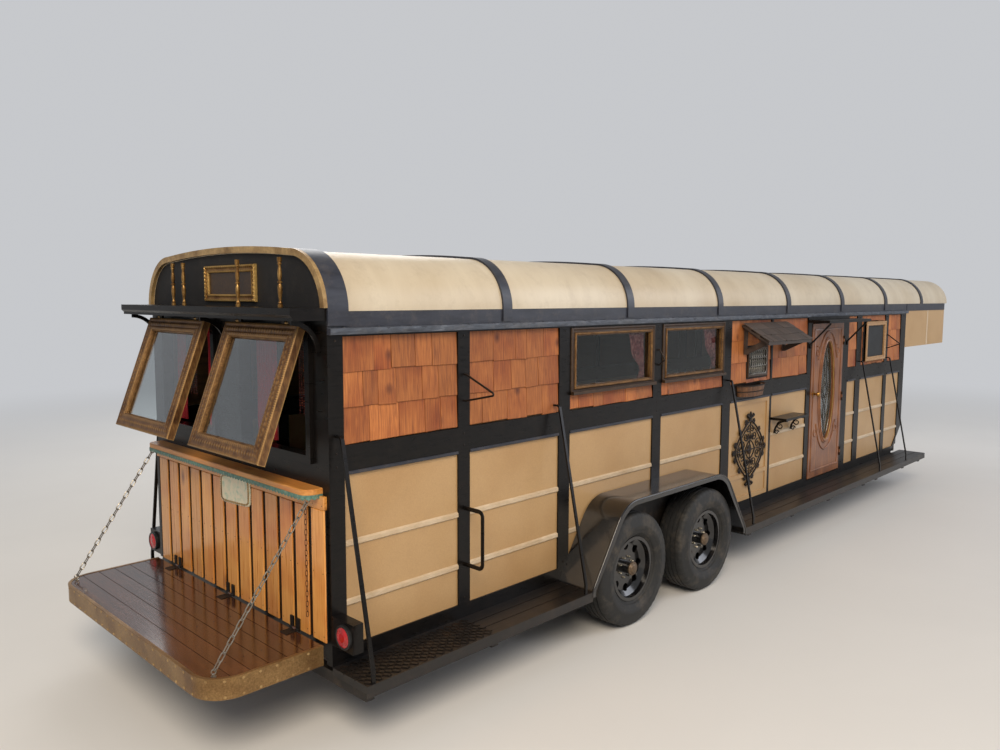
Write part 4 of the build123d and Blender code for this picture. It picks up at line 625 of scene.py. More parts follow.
# boards that carry the shingles and close the wall behind them
makePiece("shingle_sheathing", sheathing, plywood, replaces=("shingle_panels",), weld=False)
print("shingles laid:", sum(map(len, tones)) // 12)


def studs(places, normals, radius=0.004, height=0.002, sides=8):
    # bolt, nail or rivet heads: rings that draw in towards a flat top, each standing square on its surface
    places, normals = np.broadcast_arrays(np.atleast_2d(np.asarray(places, float)), np.asarray(normals, float))
    normals = normals / np.linalg.norm(normals, axis=1)[:, None]
    other = np.where(np.abs(normals[:, 2:]) < 0.9, [[0.0, 0.0, 1.0]], [[1.0, 0.0, 0.0]])
    a = np.cross(normals, other)
    a /= np.linalg.norm(a, axis=1)[:, None]
    b = np.cross(normals, a)
    angle = fullTurn(sides)
    circle = a[:, None] * np.cos(angle)[None, :, None] + b[:, None] * np.sin(angle)[None, :, None]
    rings = [places[:, None] + normals[:, None] * up * height + circle * wide * radius
             for up, wide in ((-0.2, 1.0), (0.1, 1.0), (0.65, 0.84), (1.0, 0.4))]
    quads, cap = gridFaces(4, sides, wrapCols=True), np.array([3 * sides + np.arange(sides)])
    return np.stack(rings, 1).reshape(-1, 3), *(many(4 * sides, faces, len(places)) for faces in (quads, cap))


def swept(path, section):
    # a closed section of (outwards, up), each a number or one for each point, carried along a line in plan,
    # outwards being left of the way it runs
    path = np.asarray(path, float)
    way = np.gradient(path[:, :2], axis=0)
    way /= np.linalg.norm(way, axis=1)[:, None]
    out = stacked(-way[:, 1], way[:, 0], 0)
    count = len(section)
    section = np.stack([stacked(*corner, path[:, 0])[:, :2] for corner in section], 1)
    p = path[:, None] + out[:, None] * section[..., :1] + np.array([0, 0, 1]) * section[..., 1:]
    ends = np.array([np.arange(count)[::-1], (len(path) - 1) * count + np.arange(count)])
    return p.reshape(-1, 3), gridFaces(len(path), count, wrapCols=True), ends


def spiral(centre, size, turns, start, eye=0.12, steps=40):
    # scroll in the plane (along, up): the radius shrinks evenly from size to the eye's share of it as the angle runs on
    t = np.linspace(0, 1, steps)
    radius = size * (1 - (1 - eye) * t)
    angle = start + 2 * np.pi * turns * t
    return stacked(centre[0] + radius * np.cos(angle), centre[1] + radius * np.sin(angle))


def onWall(path, side, out):
    # points (along X, height) set on a side wall at this distance from the middle
    path = np.asarray(path, float)
    return stacked(path[:, 0], side * out, path[:, 1])


def wallBar(path, out, radius, sides=8, closed=False, flat=1.0):
    # bar along points (along X, height) on the right side wall
    return along(onWall(path, -1, out), radius, sides, closed, flat, up=(0, 1, 0))


def bell(inset, middle, width):
    # 1 in the middle of a band of a moulding, falling off evenly on both sides
    return np.exp(-((inset - middle) / width) ** 2)


# carved frames of the awning windows: a mitred moulding over the wooden frame, with eggs, beads and leaves, each
# of them in its own band of the profile (how far in, how wide)
awning = {"hingeX": -63, "hingeZ": 2.103, "middle": 0.5, "open": 20, "half": 0.370, "low": 0.008, "high": 0.708,
          "step": 0.0026, "eggs": 0.026, "eggDepth": 0.0048, "eggBand": (0.0385, 0.0085), "beads": 0.0115,
          "beadDepth": 0.0028, "beadBand": (0.0095, 0.0055), "leaves": 0.019, "leafDepth": 0.0022,
          "leafBand": (0.064, 0.006)}
awningProfile = [(-0.001, -0.034), (-0.001, -0.030), (-0.001, -0.010), (-0.001, 0.001), (-0.001, 0.005),
                 (0.003, 0.0095), (0.009, 0.0115), (0.015, 0.0102), (0.0185, 0.0076),
                 (0.023, 0.0074), (0.027, 0.0082), (0.0325, 0.0118), (0.0385, 0.0136), (0.0445, 0.0118),
                 (0.050, 0.0082), (0.053, 0.0076), (0.0565, 0.0096), (0.061, 0.0124), (0.066, 0.0128),
                 (0.071, 0.0104), (0.075, 0.0076), (0.0762, 0.003), (0.0762, -0.013)]
sightProfile = [(0.0745, 0.004), (0.077, 0.0062), (0.081, 0.0048), (0.0845, -0.002), (0.0855, -0.014), (0.0745, -0.014)]


def awningCarving(run, inset):
    # hollows between arched eggs, beads of a squared sine, and leaves that slant away from their spine
    eggs = (1 - np.abs(np.cos(np.pi * run / awning["eggs"]))) ** 1.3 * bell(inset, *awning["eggBand"])
    beads = np.sin(np.pi * run / awning["beads"]) ** 2 * bell(inset, *awning["beadBand"])
    slant = run + 1.2 * np.abs(inset - awning["leafBand"][0])
    leaves = np.abs(np.sin(np.pi * slant / awning["leaves"])) * bell(inset, *awning["leafBand"])
    return -awning["eggDepth"] * eggs - awning["beadDepth"] * beads - awning["leafDepth"] * leaves


def awningPlane(side):
    # (across, down from the hinge, outwards) on an awning window that hangs open
    a = math.radians(awning["open"])

    def place(p):
        u, v, out = p.T
        x = at(awning["hingeX"]) - math.sin(a) * v - math.cos(a) * out
        z = awning["hingeZ"] - math.cos(a) * v + math.sin(a) * out
        return stacked(x, side * awning["middle"] + u, z)
    return place


for name, side in sides.items():
    low, high = (-awning["half"], awning["low"]), (awning["half"], awning["high"])
    steps = int(2 * awning["half"] / awning["step"])
    body = f"awning_window_{name}"
    makePiece(f"awning_carving_{name}", [moulding(low, high, awningProfile, awningPlane(side), steps, awningCarving)],
              carvedWood, body, sharp=50)
    makePiece(f"awning_sight_edge_{name}", [moulding(low, high, sightProfile, awningPlane(side), 40)], sightGilt, body)

# side windows: dark bronze outer moulding, and next to the glass a bevel whose gilt is a painted glint of light on it
sideWindow = {"low": 1.600, "high": 2.040, "face": 1.0}
outerProfile = [(0.0, -0.012), (0.0, 0.005), (0.004, 0.0105), (0.012, 0.0115), (0.017, 0.0075), (0.021, 0.0035),
                (0.029, 0.0032), (0.032, 0.006), (0.036, 0.0075), (0.038, 0.0005)]
bevelProfile = [(0.0345, 0.0), (0.0345, 0.0095), (0.038, 0.0145), (0.043, 0.0155), (0.050, 0.011), (0.0565, 0.002),
                (0.0565, -0.014)]
frames, bevels = [], []
for side, start, end, filling in bays:
    if filling == "window":
        low, high = (at(start), sideWindow["low"]), (at(end), sideWindow["high"])
        plane = wallPlane(side, sideWindow["face"])
        frames.append(moulding(low, high, outerProfile, plane))
        bevels.append(moulding(low, high, bevelProfile, plane))
makePiece("side_window_mouldings", frames, darkBronze)
# the bevels' gilt paints the glint of light on them
makePiece("side_window_bevels_painted_glint", bevels, sightGilt)

# gable: ornate gilt frame with a dark panel, and four turned spindles standing on the canopy
gable = {"low": (-0.350, 2.205), "high": (0.225, 2.407), "rim": 0.035, "panel": -4, "spindleX": -60, "foot": 2.180,
         "spindleY": (0.547, 0.405, -0.250, -0.683), "leaves": 0.022, "leafDepth": 0.006, "leafBand": (0.010, 0.007),
         "spine": 0.009, "beads": 0.009, "beadDepth": 0.003, "beadBand": (0.034, 0.004)}
gableProfile = [(0.0, 0.0), (0.0, 0.015), (0.003, 0.021), (0.009, 0.024), (0.014, 0.020), (0.018, 0.014),
                (0.024, 0.0125), (0.029, 0.016), (0.034, 0.018), (0.039, 0.014), (0.041, 0.006), (0.041, 0.0)]


def gableCarving(run, inset):
    # leaves that slant away from their spine, and a row of beads
    slant = run + 1.5 * np.abs(inset - gable["spine"])
    leaves = np.abs(np.sin(np.pi * slant / gable["leaves"])) * bell(inset, *gable["leafBand"])
    beads = np.sin(np.pi * run / gable["beads"]) ** 2 * bell(inset, *gable["beadBand"])
    return -gable["leafDepth"] * leaves - gable["beadDepth"] * beads


spindle = [(0, 1e-5), (0, 0.013), (0.012, 0.013), (0.016, 0.0085), (0.021, 0.0118), (0.027, 0.0085), (0.034, 0.0070),
           (0.05, 0.0088), (0.075, 0.0118), (0.098, 0.0122), (0.112, 0.0100), (0.119, 0.0072), (0.122, 0.0124),
           (0.130, 0.0124), (0.133, 0.0072), (0.142, 0.0098), (0.165, 0.0120), (0.188, 0.0095), (0.206, 0.0070),
           (0.212, 0.0085), (0.218, 0.0118), (0.224, 0.0085), (0.230, 0.0125), (0.250, 0.0125), (0.250, 1e-5)]
makePiece("gable_frame", [moulding(gable["low"], gable["high"], gableProfile, rearPlane(at(0)), 200, gableCarving)],
          gilt, replaces=("gable_ornament",), sharp=50)
makePiece("gable_spindles", [turned(spindle, (at(gable["spindleX"]), y, gable["foot"]), 2, 20)
                             for y in gable["spindleY"]], spindleGilt, replaces=("gable_ornament",), sharp=45)
(y0, z0), (y1, z1) = np.add(gable["low"], gable["rim"]), np.subtract(gable["high"], gable["rim"])
makePiece("gable_panel", [boards((at(gable["panel"]), y0, z0), (at(0), y1, z1))], darkBronze)
print("windows and gable made")

# rear slats under the counter: one board each, nailed to a dark backing, with a flush rail on top
slats = {"count": 13, "from": -0.978, "to": 0.934, "gap": 0.034, "low": 0.505, "rail": 1.182, "top": 1.252,
         "half": 0.978, "face": -22, "back": -12, "round": 0.0025, "nails": 0.042, "nailLevels": (0.535, 0.86, 1.205)}
face, back = at(slats["face"]), at(slats["back"])
edges = np.linspace(slats["from"], slats["to"] + slats["gap"], slats["count"] + 1)
left, right = edges[:-1], edges[1:] - slats["gap"]
low, high = stacked(face, left, slats["low"]), stacked(back, right, slats["rail"])
makePiece("pine_slats", [boards(low, high, slats["round"])], pine, tone=np.repeat(draw.uniform(0, 1, len(left)), 24),
          replaces=("slat_wall",), weld=False)
makePiece("slat_rail", [boards((face, -slats["half"], slats["rail"] + 0.001), (at(0), slats["half"], slats["top"]),
                               slats["round"])], railPine, weld=False)
makePiece("slat_backing", [boards((back, -slats["half"], slats["low"]), (at(0), slats["half"], slats["rail"])),
                           boards((face, slats["to"] + 0.006, slats["low"]),
                                  (back + 0.001, slats["half"], slats["rail"]), slats["round"])],
          blackEnamel, weld=False)
middle = (edges[:-1] + edges[1:] - slats["gap"]) / 2
y, z = crossings(np.r_[middle - slats["nails"], middle + slats["nails"]], slats["nailLevels"])
makePiece("slat_nails", [studs(stacked(face, y, z), (-1, 0, 0), 0.0032, 0.0012, 6)], iron, weld=False)


def skirt(near, far, half, corner, steps, step):
    # line round three sides of a rectangle behind the body, its two corners rounded
    line = [(at(near), -half, 0), (at(far), -half, 0), (at(far), half, 0), (at(near), half, 0)]
    return dense(rounded(line, corner, steps), step)


# teal metal edging under the counter's front: its lower edge hangs in scallops
edging = {"near": -2, "out": -100, "half": 0.940, "corner": 0.060, "top": 1.262, "low": 1.246, "neck": 1.252,
          "scallop": 0.030, "drop": 0.009}
path = skirt(edging["near"], edging["out"], edging["half"], edging["corner"], 10, 0.003)
run = np.r_[0, np.cumsum(np.linalg.norm(np.diff(path, axis=0), axis=1))]
hem = (edging["low"] - edging["drop"] * np.abs(np.sin(np.pi * run / edging["scallop"])))[::-1]
section = [(-0.0003, edging["top"]), (-0.0022, edging["top"]), (-0.0030, edging["neck"]), (-0.0026, hem),
           (-0.0008, hem), (-0.0008, edging["neck"])]
makePiece("counter_edging", [swept(path[::-1], section)], tealEdge, sharp=50)

# blank cast plate on the slats: cream face inside a beaded, scalloped rim
plate = {"middle": (-0.088, 1.139), "half": (0.170, 0.080), "power": 7, "scallops": 46, "scallop": 0.006, "lean": 0.055}
turn = fullTurn(276)
c, s = np.cos(turn), np.sin(turn)
reach = (np.abs(c) ** plate["power"] + np.abs(s) ** plate["power"]) ** (-1 / plate["power"])
wave = np.abs(np.cos(plate["scallops"] * turn / 2))


def plateRing(share, height, ripple=0):
    # |u|^power + |v|^power is the same all round, a squared oval; ripple adds scallops; the plate hangs aslant
    u = plate["half"][0] * share * reach * c + ripple * plate["scallop"] * wave * c
    v = plate["half"][1] * share * reach * s + ripple * plate["scallop"] * wave * s
    return stacked(face - height, plate["middle"][0] + u, plate["middle"][1] + v - plate["lean"] * u)


rings = [plateRing(*ring) for ring in ((0.02, 0.004), (0.80, 0.004), (0.84, 0.0065), (0.88, 0.007, 0.3),
                                       (0.92, 0.005, 0.6), (0.96, 0.0075, 0.9), (1.0, 0.005, 1.0), (1.0, 0.0002, 1.0))]
makePiece("blank_cast_plate", [(np.concatenate(rings), gridFaces(len(rings), len(turn), wrapCols=True),
                                np.arange(len(turn))[None])], creamPlate, sharp=60)
rim = along(plateRing(0.92, 0.0065), 0.0055 * (0.7 + 0.4 * wave), closed=True, up=(1, 0, 0))
makePiece("cast_plate_rim", [rim], archBronze, sharp=60)

# deck: metal lip turned over the edge of the boards, rivets along the band and screws in the boards
deck = {"out": -640, "inner": -38, "half": 0.978, "corner": 0.170, "top": 0.499, "lip": 0.017, "rivets": 0.085,
        "rivetRows": (0.487, 0.411), "boards": 96, "screws": (-0.80, -0.30, 0.30, 0.80)}
path = skirt(deck["inner"], deck["out"], -deck["half"], deck["corner"], 14, 0.02)
lip = [(out, deck["top"] + rise) for out, rise in ((0.0016, -0.008), (0.0016, 0.0012), (0.0008, 0.0020),
                                                   (-deck["lip"], 0.0020), (-deck["lip"], 0.0002), (-0.0002, 0.0002))]
makePiece("deck_band_lip", [swept(path[::-1], lip)], bronzeBand, "rear_deck", sharp=40)
spaced = dense(path, deck["rivets"])[1:-1]
way = np.gradient(spaced[:, :2], axis=0)
# square to the line, turned away from a point in the middle of the deck
out = stacked(way[:, 1], -way[:, 0], 0)
out *= np.sign((out[:, :2] * (spaced[:, :2] - [at(-200), 0])).sum(1))[:, None]
places = np.concatenate([spaced + [0, 0, z] for z in deck["rivetRows"]])
makePiece("deck_band_rivets", [studs(places, np.concatenate([out, out]), 0.0075, 0.0034)], archBronze, "rear_deck",
          weld=False)
x, y = crossings(np.arange(-86, -600, -deck["boards"]), deck["screws"])
makePiece("deck_screws", [studs(stacked(at(x), y, deck["top"]), (0, 0, 1), 0.004, 0.0008)], iron, "rear_deck",
          weld=False)
# iron leaf of each deck hinge on the boards, with its four screws
leaf = {"across": (-0.70, 0, 0.70), "half": 0.032, "from": -99, "to": -38, "proud": 0.0038, "screwsAhead": (-80, -56),
        "screwsAside": 0.024}
top = deck["top"] + leaf["proud"]
parts = [boards((at(leaf["from"]), y - leaf["half"], deck["top"] - 0.001),
                (at(leaf["to"]), y + leaf["half"], top), 0.0008) for y in leaf["across"]]
x, y = crossings(leaf["screwsAhead"], [y + s * leaf["screwsAside"] for y in leaf["across"] for s in (-1, 1)])
parts.append(studs(stacked(at(x), y, top), (0, 0, 1), 0.0042, 0.001))
makePiece("deck_hinge_leaves", parts, iron, "rear_deck", weld=False)


def chain(start, end, count, pitch, wide, wire):
    # oval links of round wire between two points, each turned a quarter from the last; one oval is a ring of
    # two half circles joined by straights
    start, end = np.asarray(start, float), np.asarray(end, float)
    ahead = (end - start) / np.linalg.norm(end - start)
    flat = np.cross((0, 1, 0), ahead)
    flat /= np.linalg.norm(flat)
    edge = np.cross(ahead, flat)
    bow = wide / 2 - wire / 2
    reach = pitch / 2 + wire / 2 - bow
    angle = np.r_[np.linspace(-np.pi / 2, np.pi / 2, 8), np.linspace(np.pi / 2, 3 * np.pi / 2, 8)]
    u = bow * np.cos(angle) + np.r_[reach * np.ones(8), -reach * np.ones(8)]
    v = bow * np.sin(angle)
    gap = np.linalg.norm(end - start) / count
    parts = []
    for k in range(count):
        middle = start + ahead * gap * (k + 0.5)
        across, normal = (flat, edge) if k % 2 else (edge, flat)
        ring = middle + u[:, None] * ahead + v[:, None] * across
        parts.append(along(ring, wire / 2, 6, closed=True, up=normal))
    return parts


# galvanised chains from the counter's corners to the deck's outer corners
chains = {"top": (-75, 0.915, 1.230), "end": (-572, 0.896, 0.521), "links": 21, "pitch": 0.0405, "wide": 0.027,
          "wire": 0.0065, "eye": 0.012, "eyeWire": 0.006, "stem": 0.022}
washer = [(0, 1e-5), (0, 0.013), (0.002, 0.013), (0.003, 0.010), (0.003, 1e-5)]
turn = fullTurn(16)
parts = []
for side in (-1, 1):
    top, end = (np.array([at(x), side * y, z]) for x, y, z in (chains["top"], chains["end"]))
    ahead = (end - top) / np.linalg.norm(end - top) * 0.008
    parts += chain(top + ahead, end - ahead, chains["links"], chains["pitch"], chains["wide"], chains["wire"])
    for centre, stem in ((top, chains["stem"]), (end, -chains["stem"])):
        ring = centre + chains["eye"] * stacked(np.cos(turn), 0, np.sin(turn))
        parts.append(along(ring, chains["eyeWire"] / 2, 6, closed=True, up=(0, 1, 0)))
        parts.append(along([centre + [0, 0, 0.5 * stem], centre + [0, 0, stem]], 0.004, up=(0, 1, 0)))
        parts.append(turned(washer, centre + [0, 0, stem], 2, 16, -np.sign(stem)))
deckChains = makePiece("galvanised_deck_chains", parts, zinc, replaces=("deck_chains",), sharp=50)
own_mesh(deckChains)
# thin rusty chain left hanging from the right one's hook
spare = {"x": -75, "y": -0.898, "top": 1.215, "low": 0.640, "links": 22, "pitch": 0.0262, "wide": 0.015, "wire": 0.0036}
parts = chain((at(spare["x"]), spare["y"], spare["top"]), (at(spare["x"]), spare["y"], spare["low"]), spare["links"],
              spare["pitch"], spare["wide"], spare["wire"])
spareChain = makePiece("thin_hanging_chain", parts, rustChain, sharp=50)
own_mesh(spareChain)
print("rear end made")

# tail lamps: concentric ribs moulded in the lens, in a rubber ring
tailLamp = {"y": 1.112, "z": 0.575}
lens = [(0.001, 0.0495), (0.0165, 0.0495), (0.0175, 0.0455), (0.0200, 0.0415), (0.0185, 0.0385), (0.0212, 0.0345),
        (0.0196, 0.0315), (0.0222, 0.0275), (0.0206, 0.0245), (0.0230, 0.0200), (0.0216, 0.0165), (0.0240, 0.0110),
        (0.0240, 1e-5)]
ring = [(0.0005, 0.0610), (0.0160, 0.0610), (0.0185, 0.0585), (0.0185, 0.0525), (0.0160, 0.0500)]
places = [(at(0), side * tailLamp["y"], tailLamp["z"]) for side in (-1, 1)]
makePiece("ribbed_lamp_lenses", [turned(lens, place, 0, 48, -1) for place in places], lampRed,
          replaces=("tail_lamps",), sharp=50)
makePiece("lamp_rings", [turned(ring, place, 0, 48, -1) for place in places], lampRing)


def gathered(name, edges, z0, z1, plane, width, folds, material, rods=("curtain_rods",), cols=144, rows=40):
    # curtain: at each height it is gathered between two edges, and the narrower it is, the deeper its folds, so that
    # the cloth keeps its own width; edges(v) gives the two edges for v from 0 at the rod to 1 at the hem
    v, u = np.meshgrid(np.linspace(0, 1, rows), np.linspace(0, 1, cols), indexing="ij")
    left, right = edges(v)
    narrow = np.abs(right - left)
    depth = np.sqrt(np.maximum(width ** 2 - narrow ** 2, 0)) / (4.3 * folds)
    sway = 0.35 * np.sin(2 * np.pi * (1.7 * u + 0.6 * v))
    wave = np.sin(2 * np.pi * folds * (u + 0.012 * np.sin(9 * v + 14 * u)) + sway)
    across = left + (right - left) * (u + 0.004 * np.sin(2 * np.pi * folds * u) * v)
    p = stacked(across, z1 + (z0 - z1) * v, depth * wave * (0.75 + 0.25 * v))
    piece = makePiece(name, [(plane(p.reshape(-1, 3)), gridFaces(rows, cols))], material, sharp=180, weld=False)
    return piece


# crimson curtains on the rods behind the rear openings: one each side of both openings
rearCurtain = {"x": 76, "inner": (0.200, 0.405), "outer": (0.690, 0.820), "low": 1.448, "high": 2.076,
               "innerWide": 0.36, "outerWide": 0.25}
hung = rearCurtain["low"], rearCurtain["high"], rearPlane(at(rearCurtain["x"]))
for name, side in sides.items():
    a, b = (side * y for y in rearCurtain["inner"])
    piece = gathered(f"velvet_curtain_inner_{name}", lambda v: (a + 0 * v, b - 0.05 * (b - a) * v), *hung,
                     rearCurtain["innerWide"], 8, velvet)
    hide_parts("curtains")
    a, b = (side * y for y in rearCurtain["outer"])
    gathered(f"velvet_curtain_outer_{name}", lambda v: (a + 0.1 * (b - a) * v, b + 0 * v), *hung,
             rearCurtain["outerWide"], 6, velvet)

# bead strings between curtain and casing, each a line of small cut beads
beads = {"x": 92, "from": 0.600, "strings": 5, "apart": 0.020, "low": 1.62, "high": 2.07, "pitch": 0.0135,
         "size": 0.0048, "stagger": 0.03}
octahedron = np.array([(1, 0, 0), (0, 1, 0), (-1, 0, 0), (0, -1, 0), (0, 0, 1.3), (0, 0, -1.3)]) * beads["size"]
facets = np.array([(0, 1, 4), (1, 2, 4), (2, 3, 4), (3, 0, 4), (1, 0, 5), (2, 1, 5), (3, 2, 5), (0, 3, 5)])
z = np.arange(beads["low"], beads["high"], beads["pitch"])
y = beads["from"] + beads["apart"] * np.arange(beads["strings"])
places = np.array([(at(beads["x"]), side * out, level) for side in (-1, 1) for n, out in enumerate(y)
                   for level in z + beads["stagger"] * (n % 2)])
makePiece("bead_strings", [scatter(octahedron, facets, places)], cutBeads, weld=False, sharp=10)

# rose cotton curtains at the front end of the side windows, tied low down
sideCurtain = {"ends": (2748, 3773), "wide": 0.20, "tie": 0.05, "tieAt": 0.80, "tieLong": 0.2, "low": 1.640,
               "high": 2.000, "face": 0.951, "cloth": 0.30}
for name, side in sides.items():
    for n, end in enumerate(sideCurtain["ends"]):
        far = at(end)

        def edges(v):
            pinch = bell(v, sideCurtain["tieAt"], sideCurtain["tieLong"])
            wide = sideCurtain["wide"] * (1 - 0.45 * v) * (1 - pinch) + sideCurtain["tie"] * pinch
            return far - wide, far + 0 * v
        gathered(f"rose_curtain_{name}_{n}", edges, sideCurtain["low"], sideCurtain["high"],
                 wallPlane(side, sideCurtain["face"]), sideCurtain["cloth"], 8, roseCotton, rods=("side_windows",))
print("curtains hung")

# slate lips along the top edge of every lower panel: their slate blue is a painted reflection of the sky on the ledge
panelLip = {"low": 1.348, "high": 1.366, "inner": 0.986, "outer": 1.007}
low, high = [], []
for side, start, end, filling in bays:
    if filling != "door":
        near, far = sorted((side * panelLip["inner"], side * panelLip["outer"]))
        low.append((at(start + 2), near, panelLip["low"]))
        high.append((at(end - 2), far, panelLip["high"]))
makePiece("panel_top_lips", [boards(low, high, 0.003)], slateMetal, weld=False)
# paler paint on the pressed ribs of the lower panels: a painted highlight of their upper faces catching the light
rib = {"levels": (0.995, 0.690), "base": -0.0095, "face": 0.0006, "tall": 0.018, "flat": 0.0104}
parts = []
for side, start, end, filling in bays:
    if filling not in ("door", "hatch"):
        line = stacked(at(np.linspace(start + 1, end - 1, 6)), side, 0)[::side]
        for level in rib["levels"]:
            parts.append(swept(line, [(rib["base"], level + rib["tall"]), (rib["face"], level + rib["flat"]),
                                      (rib["face"], level - rib["flat"]), (rib["base"], level - rib["tall"])]))
makePiece("panel_rib_painted_highlight", parts, ribPaint, sharp=20)
# strip over the upright seam of the nose's sides
seam = {"from": 9000, "to": 9042, "face": 1.001, "half": 0.0015, "low": 1.646, "high": 2.078}
low = [(at(seam["from"]), side * seam["face"] - seam["half"], seam["low"]) for side in (-1, 1)]
high = [(at(seam["to"]), side * seam["face"] + seam["half"], seam["high"]) for side in (-1, 1)]
makePiece("nose_seam_strips", [boards(low, high, 0.001)], ribPaint, weld=False)

# eave band of folded slate metal above the drip rail
eave = {"low": 2.0805, "high": 2.1625, "from": 0.5, "long": 8219, "inner": 1.0004, "outer": 1.0022}
low = [(at(eave["from"]), y, eave["low"]) for y in (-eave["outer"], eave["inner"])]
high = [(at(eave["long"]), y, eave["high"]) for y in (-eave["inner"], eave["outer"])]
makePiece("eave_band", [boards(low, high, 0.0006)], slateMetal, weld=False)
# lumps of old filler on the drip rail and the bolts in its top
filler = {"step": 12, "lumps": 0.0035, "flow": 0.002}
x = np.arange(2, eave["long"], filler["step"])
parts = []
for side in (1, -1):
    lump = filler["lumps"] * np.abs(np.convolve(draw.normal(0, 1, len(x)), [0.25, 0.5, 0.25], "same"))
    flow = filler["flow"] * np.convolve(draw.normal(0, 1, len(x)), [0.2, 0.3, 0.3, 0.2], "same")
    section = [(0.002, 2.0795), (0.004, 2.083 + lump * 0.6), (0.016, 2.0815 + lump),
               (0.0285 + flow, 2.081 + lump * 0.4), (0.0300 + flow, 2.070), (0.0295 + flow * 0.5, 2.054),
               (0.0285, 2.051), (0.0275, 2.058), (0.0275, 2.0795)]
    parts.append(swept(stacked(at(x), side, 0)[::side], section))
makePiece("drip_rail_filler", parts, tarBatten, sharp=60)
railBolt = {"from": 90, "to": 8200, "apart": 210, "out": 1.0145, "top": 2.0835}
places = [(at(x), side * railBolt["out"], railBolt["top"]) for side in (-1, 1)
          for x in np.arange(railBolt["from"], railBolt["to"], railBolt["apart"])]
makePiece("drip_rail_bolts", [studs(places, (0, 0, 1), 0.0075, 0.0045, 6)], slateMetal, weld=False)

# bolts through the posts; the front post has no low one, because its foot is cut off at a slant
posts = (45, 905, 1795, 2865, 3900, 5505, 6395, 6765, 7592, 8140)
levels = (0.50, 1.395, 1.462, 2.02)
places = [(at(x), side, z) for side in (-1, 1) for x in posts for z in levels[x == posts[-1]:]]
makePiece("post_bolts", [studs(places, [(0, y, 0) for x, y, z in places], 0.0065, 0.0035)], iron, weld=False)
print("edges and bolts set")

# expanded metal on the rear end of the running boards: zigzag strands, two neighbours meeting at every bend
grating = {"from": 12, "to": 885, "inner": 1.028, "outer": 1.272, "long": 0.058, "short": 0.0245, "bar": 0.0034,
           "top": 0.3835, "meeting": 0.92}
x = np.arange(at(grating["from"]), at(grating["to"]), grating["long"] / 4)
zigzag = np.array([-0.5, 0.5, 0.5, -0.5])[np.arange(len(x)) % 4] * grating["short"] * grating["meeting"]
parts = []
for side in (-1, 1):
    for n, y in enumerate(np.arange(grating["inner"], grating["outer"], grating["short"])):
        flip = 1 if n % 2 else -1
        line = stacked(x, side * (y + grating["short"] / 2 + flip * zigzag), grating["top"])
        parts.append(along(line, grating["bar"], 4, flat=0.8))
makePiece("expanded_metal_treads", parts, iron, sharp=20)

# tyres: ribs and grooves round the tread, notched shoulders, plain raised rings on the walls
tyre = {"across": (2270, 3220), "y": 1.1425, "z": 0.391, "sides": 240, "notch": 0.0045, "sipe": 0.0015}
half = [(0.070, 0.212), (0.076, 0.222), (0.082, 0.226), (0.092, 0.238), (0.096, 0.2385), (0.104, 0.247),
        (0.1115, 0.261), (0.1155, 0.276), (0.1172, 0.278), (0.1178, 0.292), (0.1185, 0.294), (0.1185, 0.306),
        (0.1178, 0.308), (0.1150, 0.328), (0.1100, 0.345), (0.1075, 0.356), (0.1055, 0.366), (0.0990, 0.377),
        (0.0890, 0.3850), (0.0800, 0.3880), (0.0620, 0.3895), (0.0600, 0.3815), (0.0530, 0.3815), (0.0510, 0.3902),
        (0.0240, 0.3908), (0.0220, 0.3825), (0.0150, 0.3825), (0.0130, 0.3910)]
profile = np.array([(-a, r) for a, r in half] + [(a, r) for a, r in half[::-1]])
a, r = profile.T[..., None]
turn, spoke = fullTurn(tyre["sides"]), np.arange(tyre["sides"])
shoulder = (np.abs(a) > 0.078) & (np.abs(a) < 0.108) & (r > 0.35)
crown = (np.abs(a) < 0.07) & (r > 0.388)
radius = r - shoulder * (spoke % 5 == 0) * tyre["notch"] - crown * (spoke % 4 == 0) * tyre["sipe"]
tread = stacked(radius * np.cos(turn), a, radius * np.sin(turn)).reshape(-1, 3)
cap = [(0.074, 0.047), (0.083, 0.047), (0.088, 0.043), (0.090, 0.036), (0.094, 0.034), (0.098, 0.027), (0.1005, 0.014),
       (0.101, 1e-5)]
nut = {"count": 8, "circle": 0.072, "foot": 0.021, "radius": 0.0095, "tall": 0.018}
turn = fullTurn(nut["count"]) + np.pi / nut["count"]
for name, side in sides.items():
    for end, x in zip(("rear", "front"), tyre["across"]):
        centre = np.array([at(x), side * tyre["y"], tyre["z"]])
        body = f"wheel_{name}_{end}"
        shape = tread + centre, gridFaces(len(profile), tyre["sides"], wrapRows=True, wrapCols=True)
        makePiece(f"treaded_tyre_{name}_{end}", [shape], rubber, body, replaces=(f"tyre_{name}_{end}",), sharp=40)
        makePiece(f"pressed_hub_cap_{name}_{end}", [turned(cap, centre, 1, 40, side)], greaseCap, body, sharp=35)
        nuts = stacked(nut["circle"] * np.cos(turn), side * nut["foot"], nut["circle"] * np.sin(turn)) + centre
        makePiece(f"wheel_nuts_{name}_{end}", [studs(nuts, (0, side, 0), nut["radius"], nut["tall"], 6)], zinc, body,
                  weld=False)
print("wheels dressed")

# rolled bead on the outer edge of the fenders
fender = {"middle": 2745, "y": 1.288, "bead": 0.008}
outline = [(-1.000, 0.345), (-1.000, 0.381), (-0.660, 0.890), (0.660, 0.890), (1.000, 0.381), (1.000, 0.345)]
line = rounded(outline, [0.04, 0.25, 0.25, 0.04], 12) + [at(fender["middle"]), 0]
parts = [along(dense(onWall(line, side, fender["y"]), 0.03), fender["bead"], 10, up=(0, 1, 0)) for side in (-1, 1)]
makePiece("fender_beads", parts, wheelPaint, sharp=60)
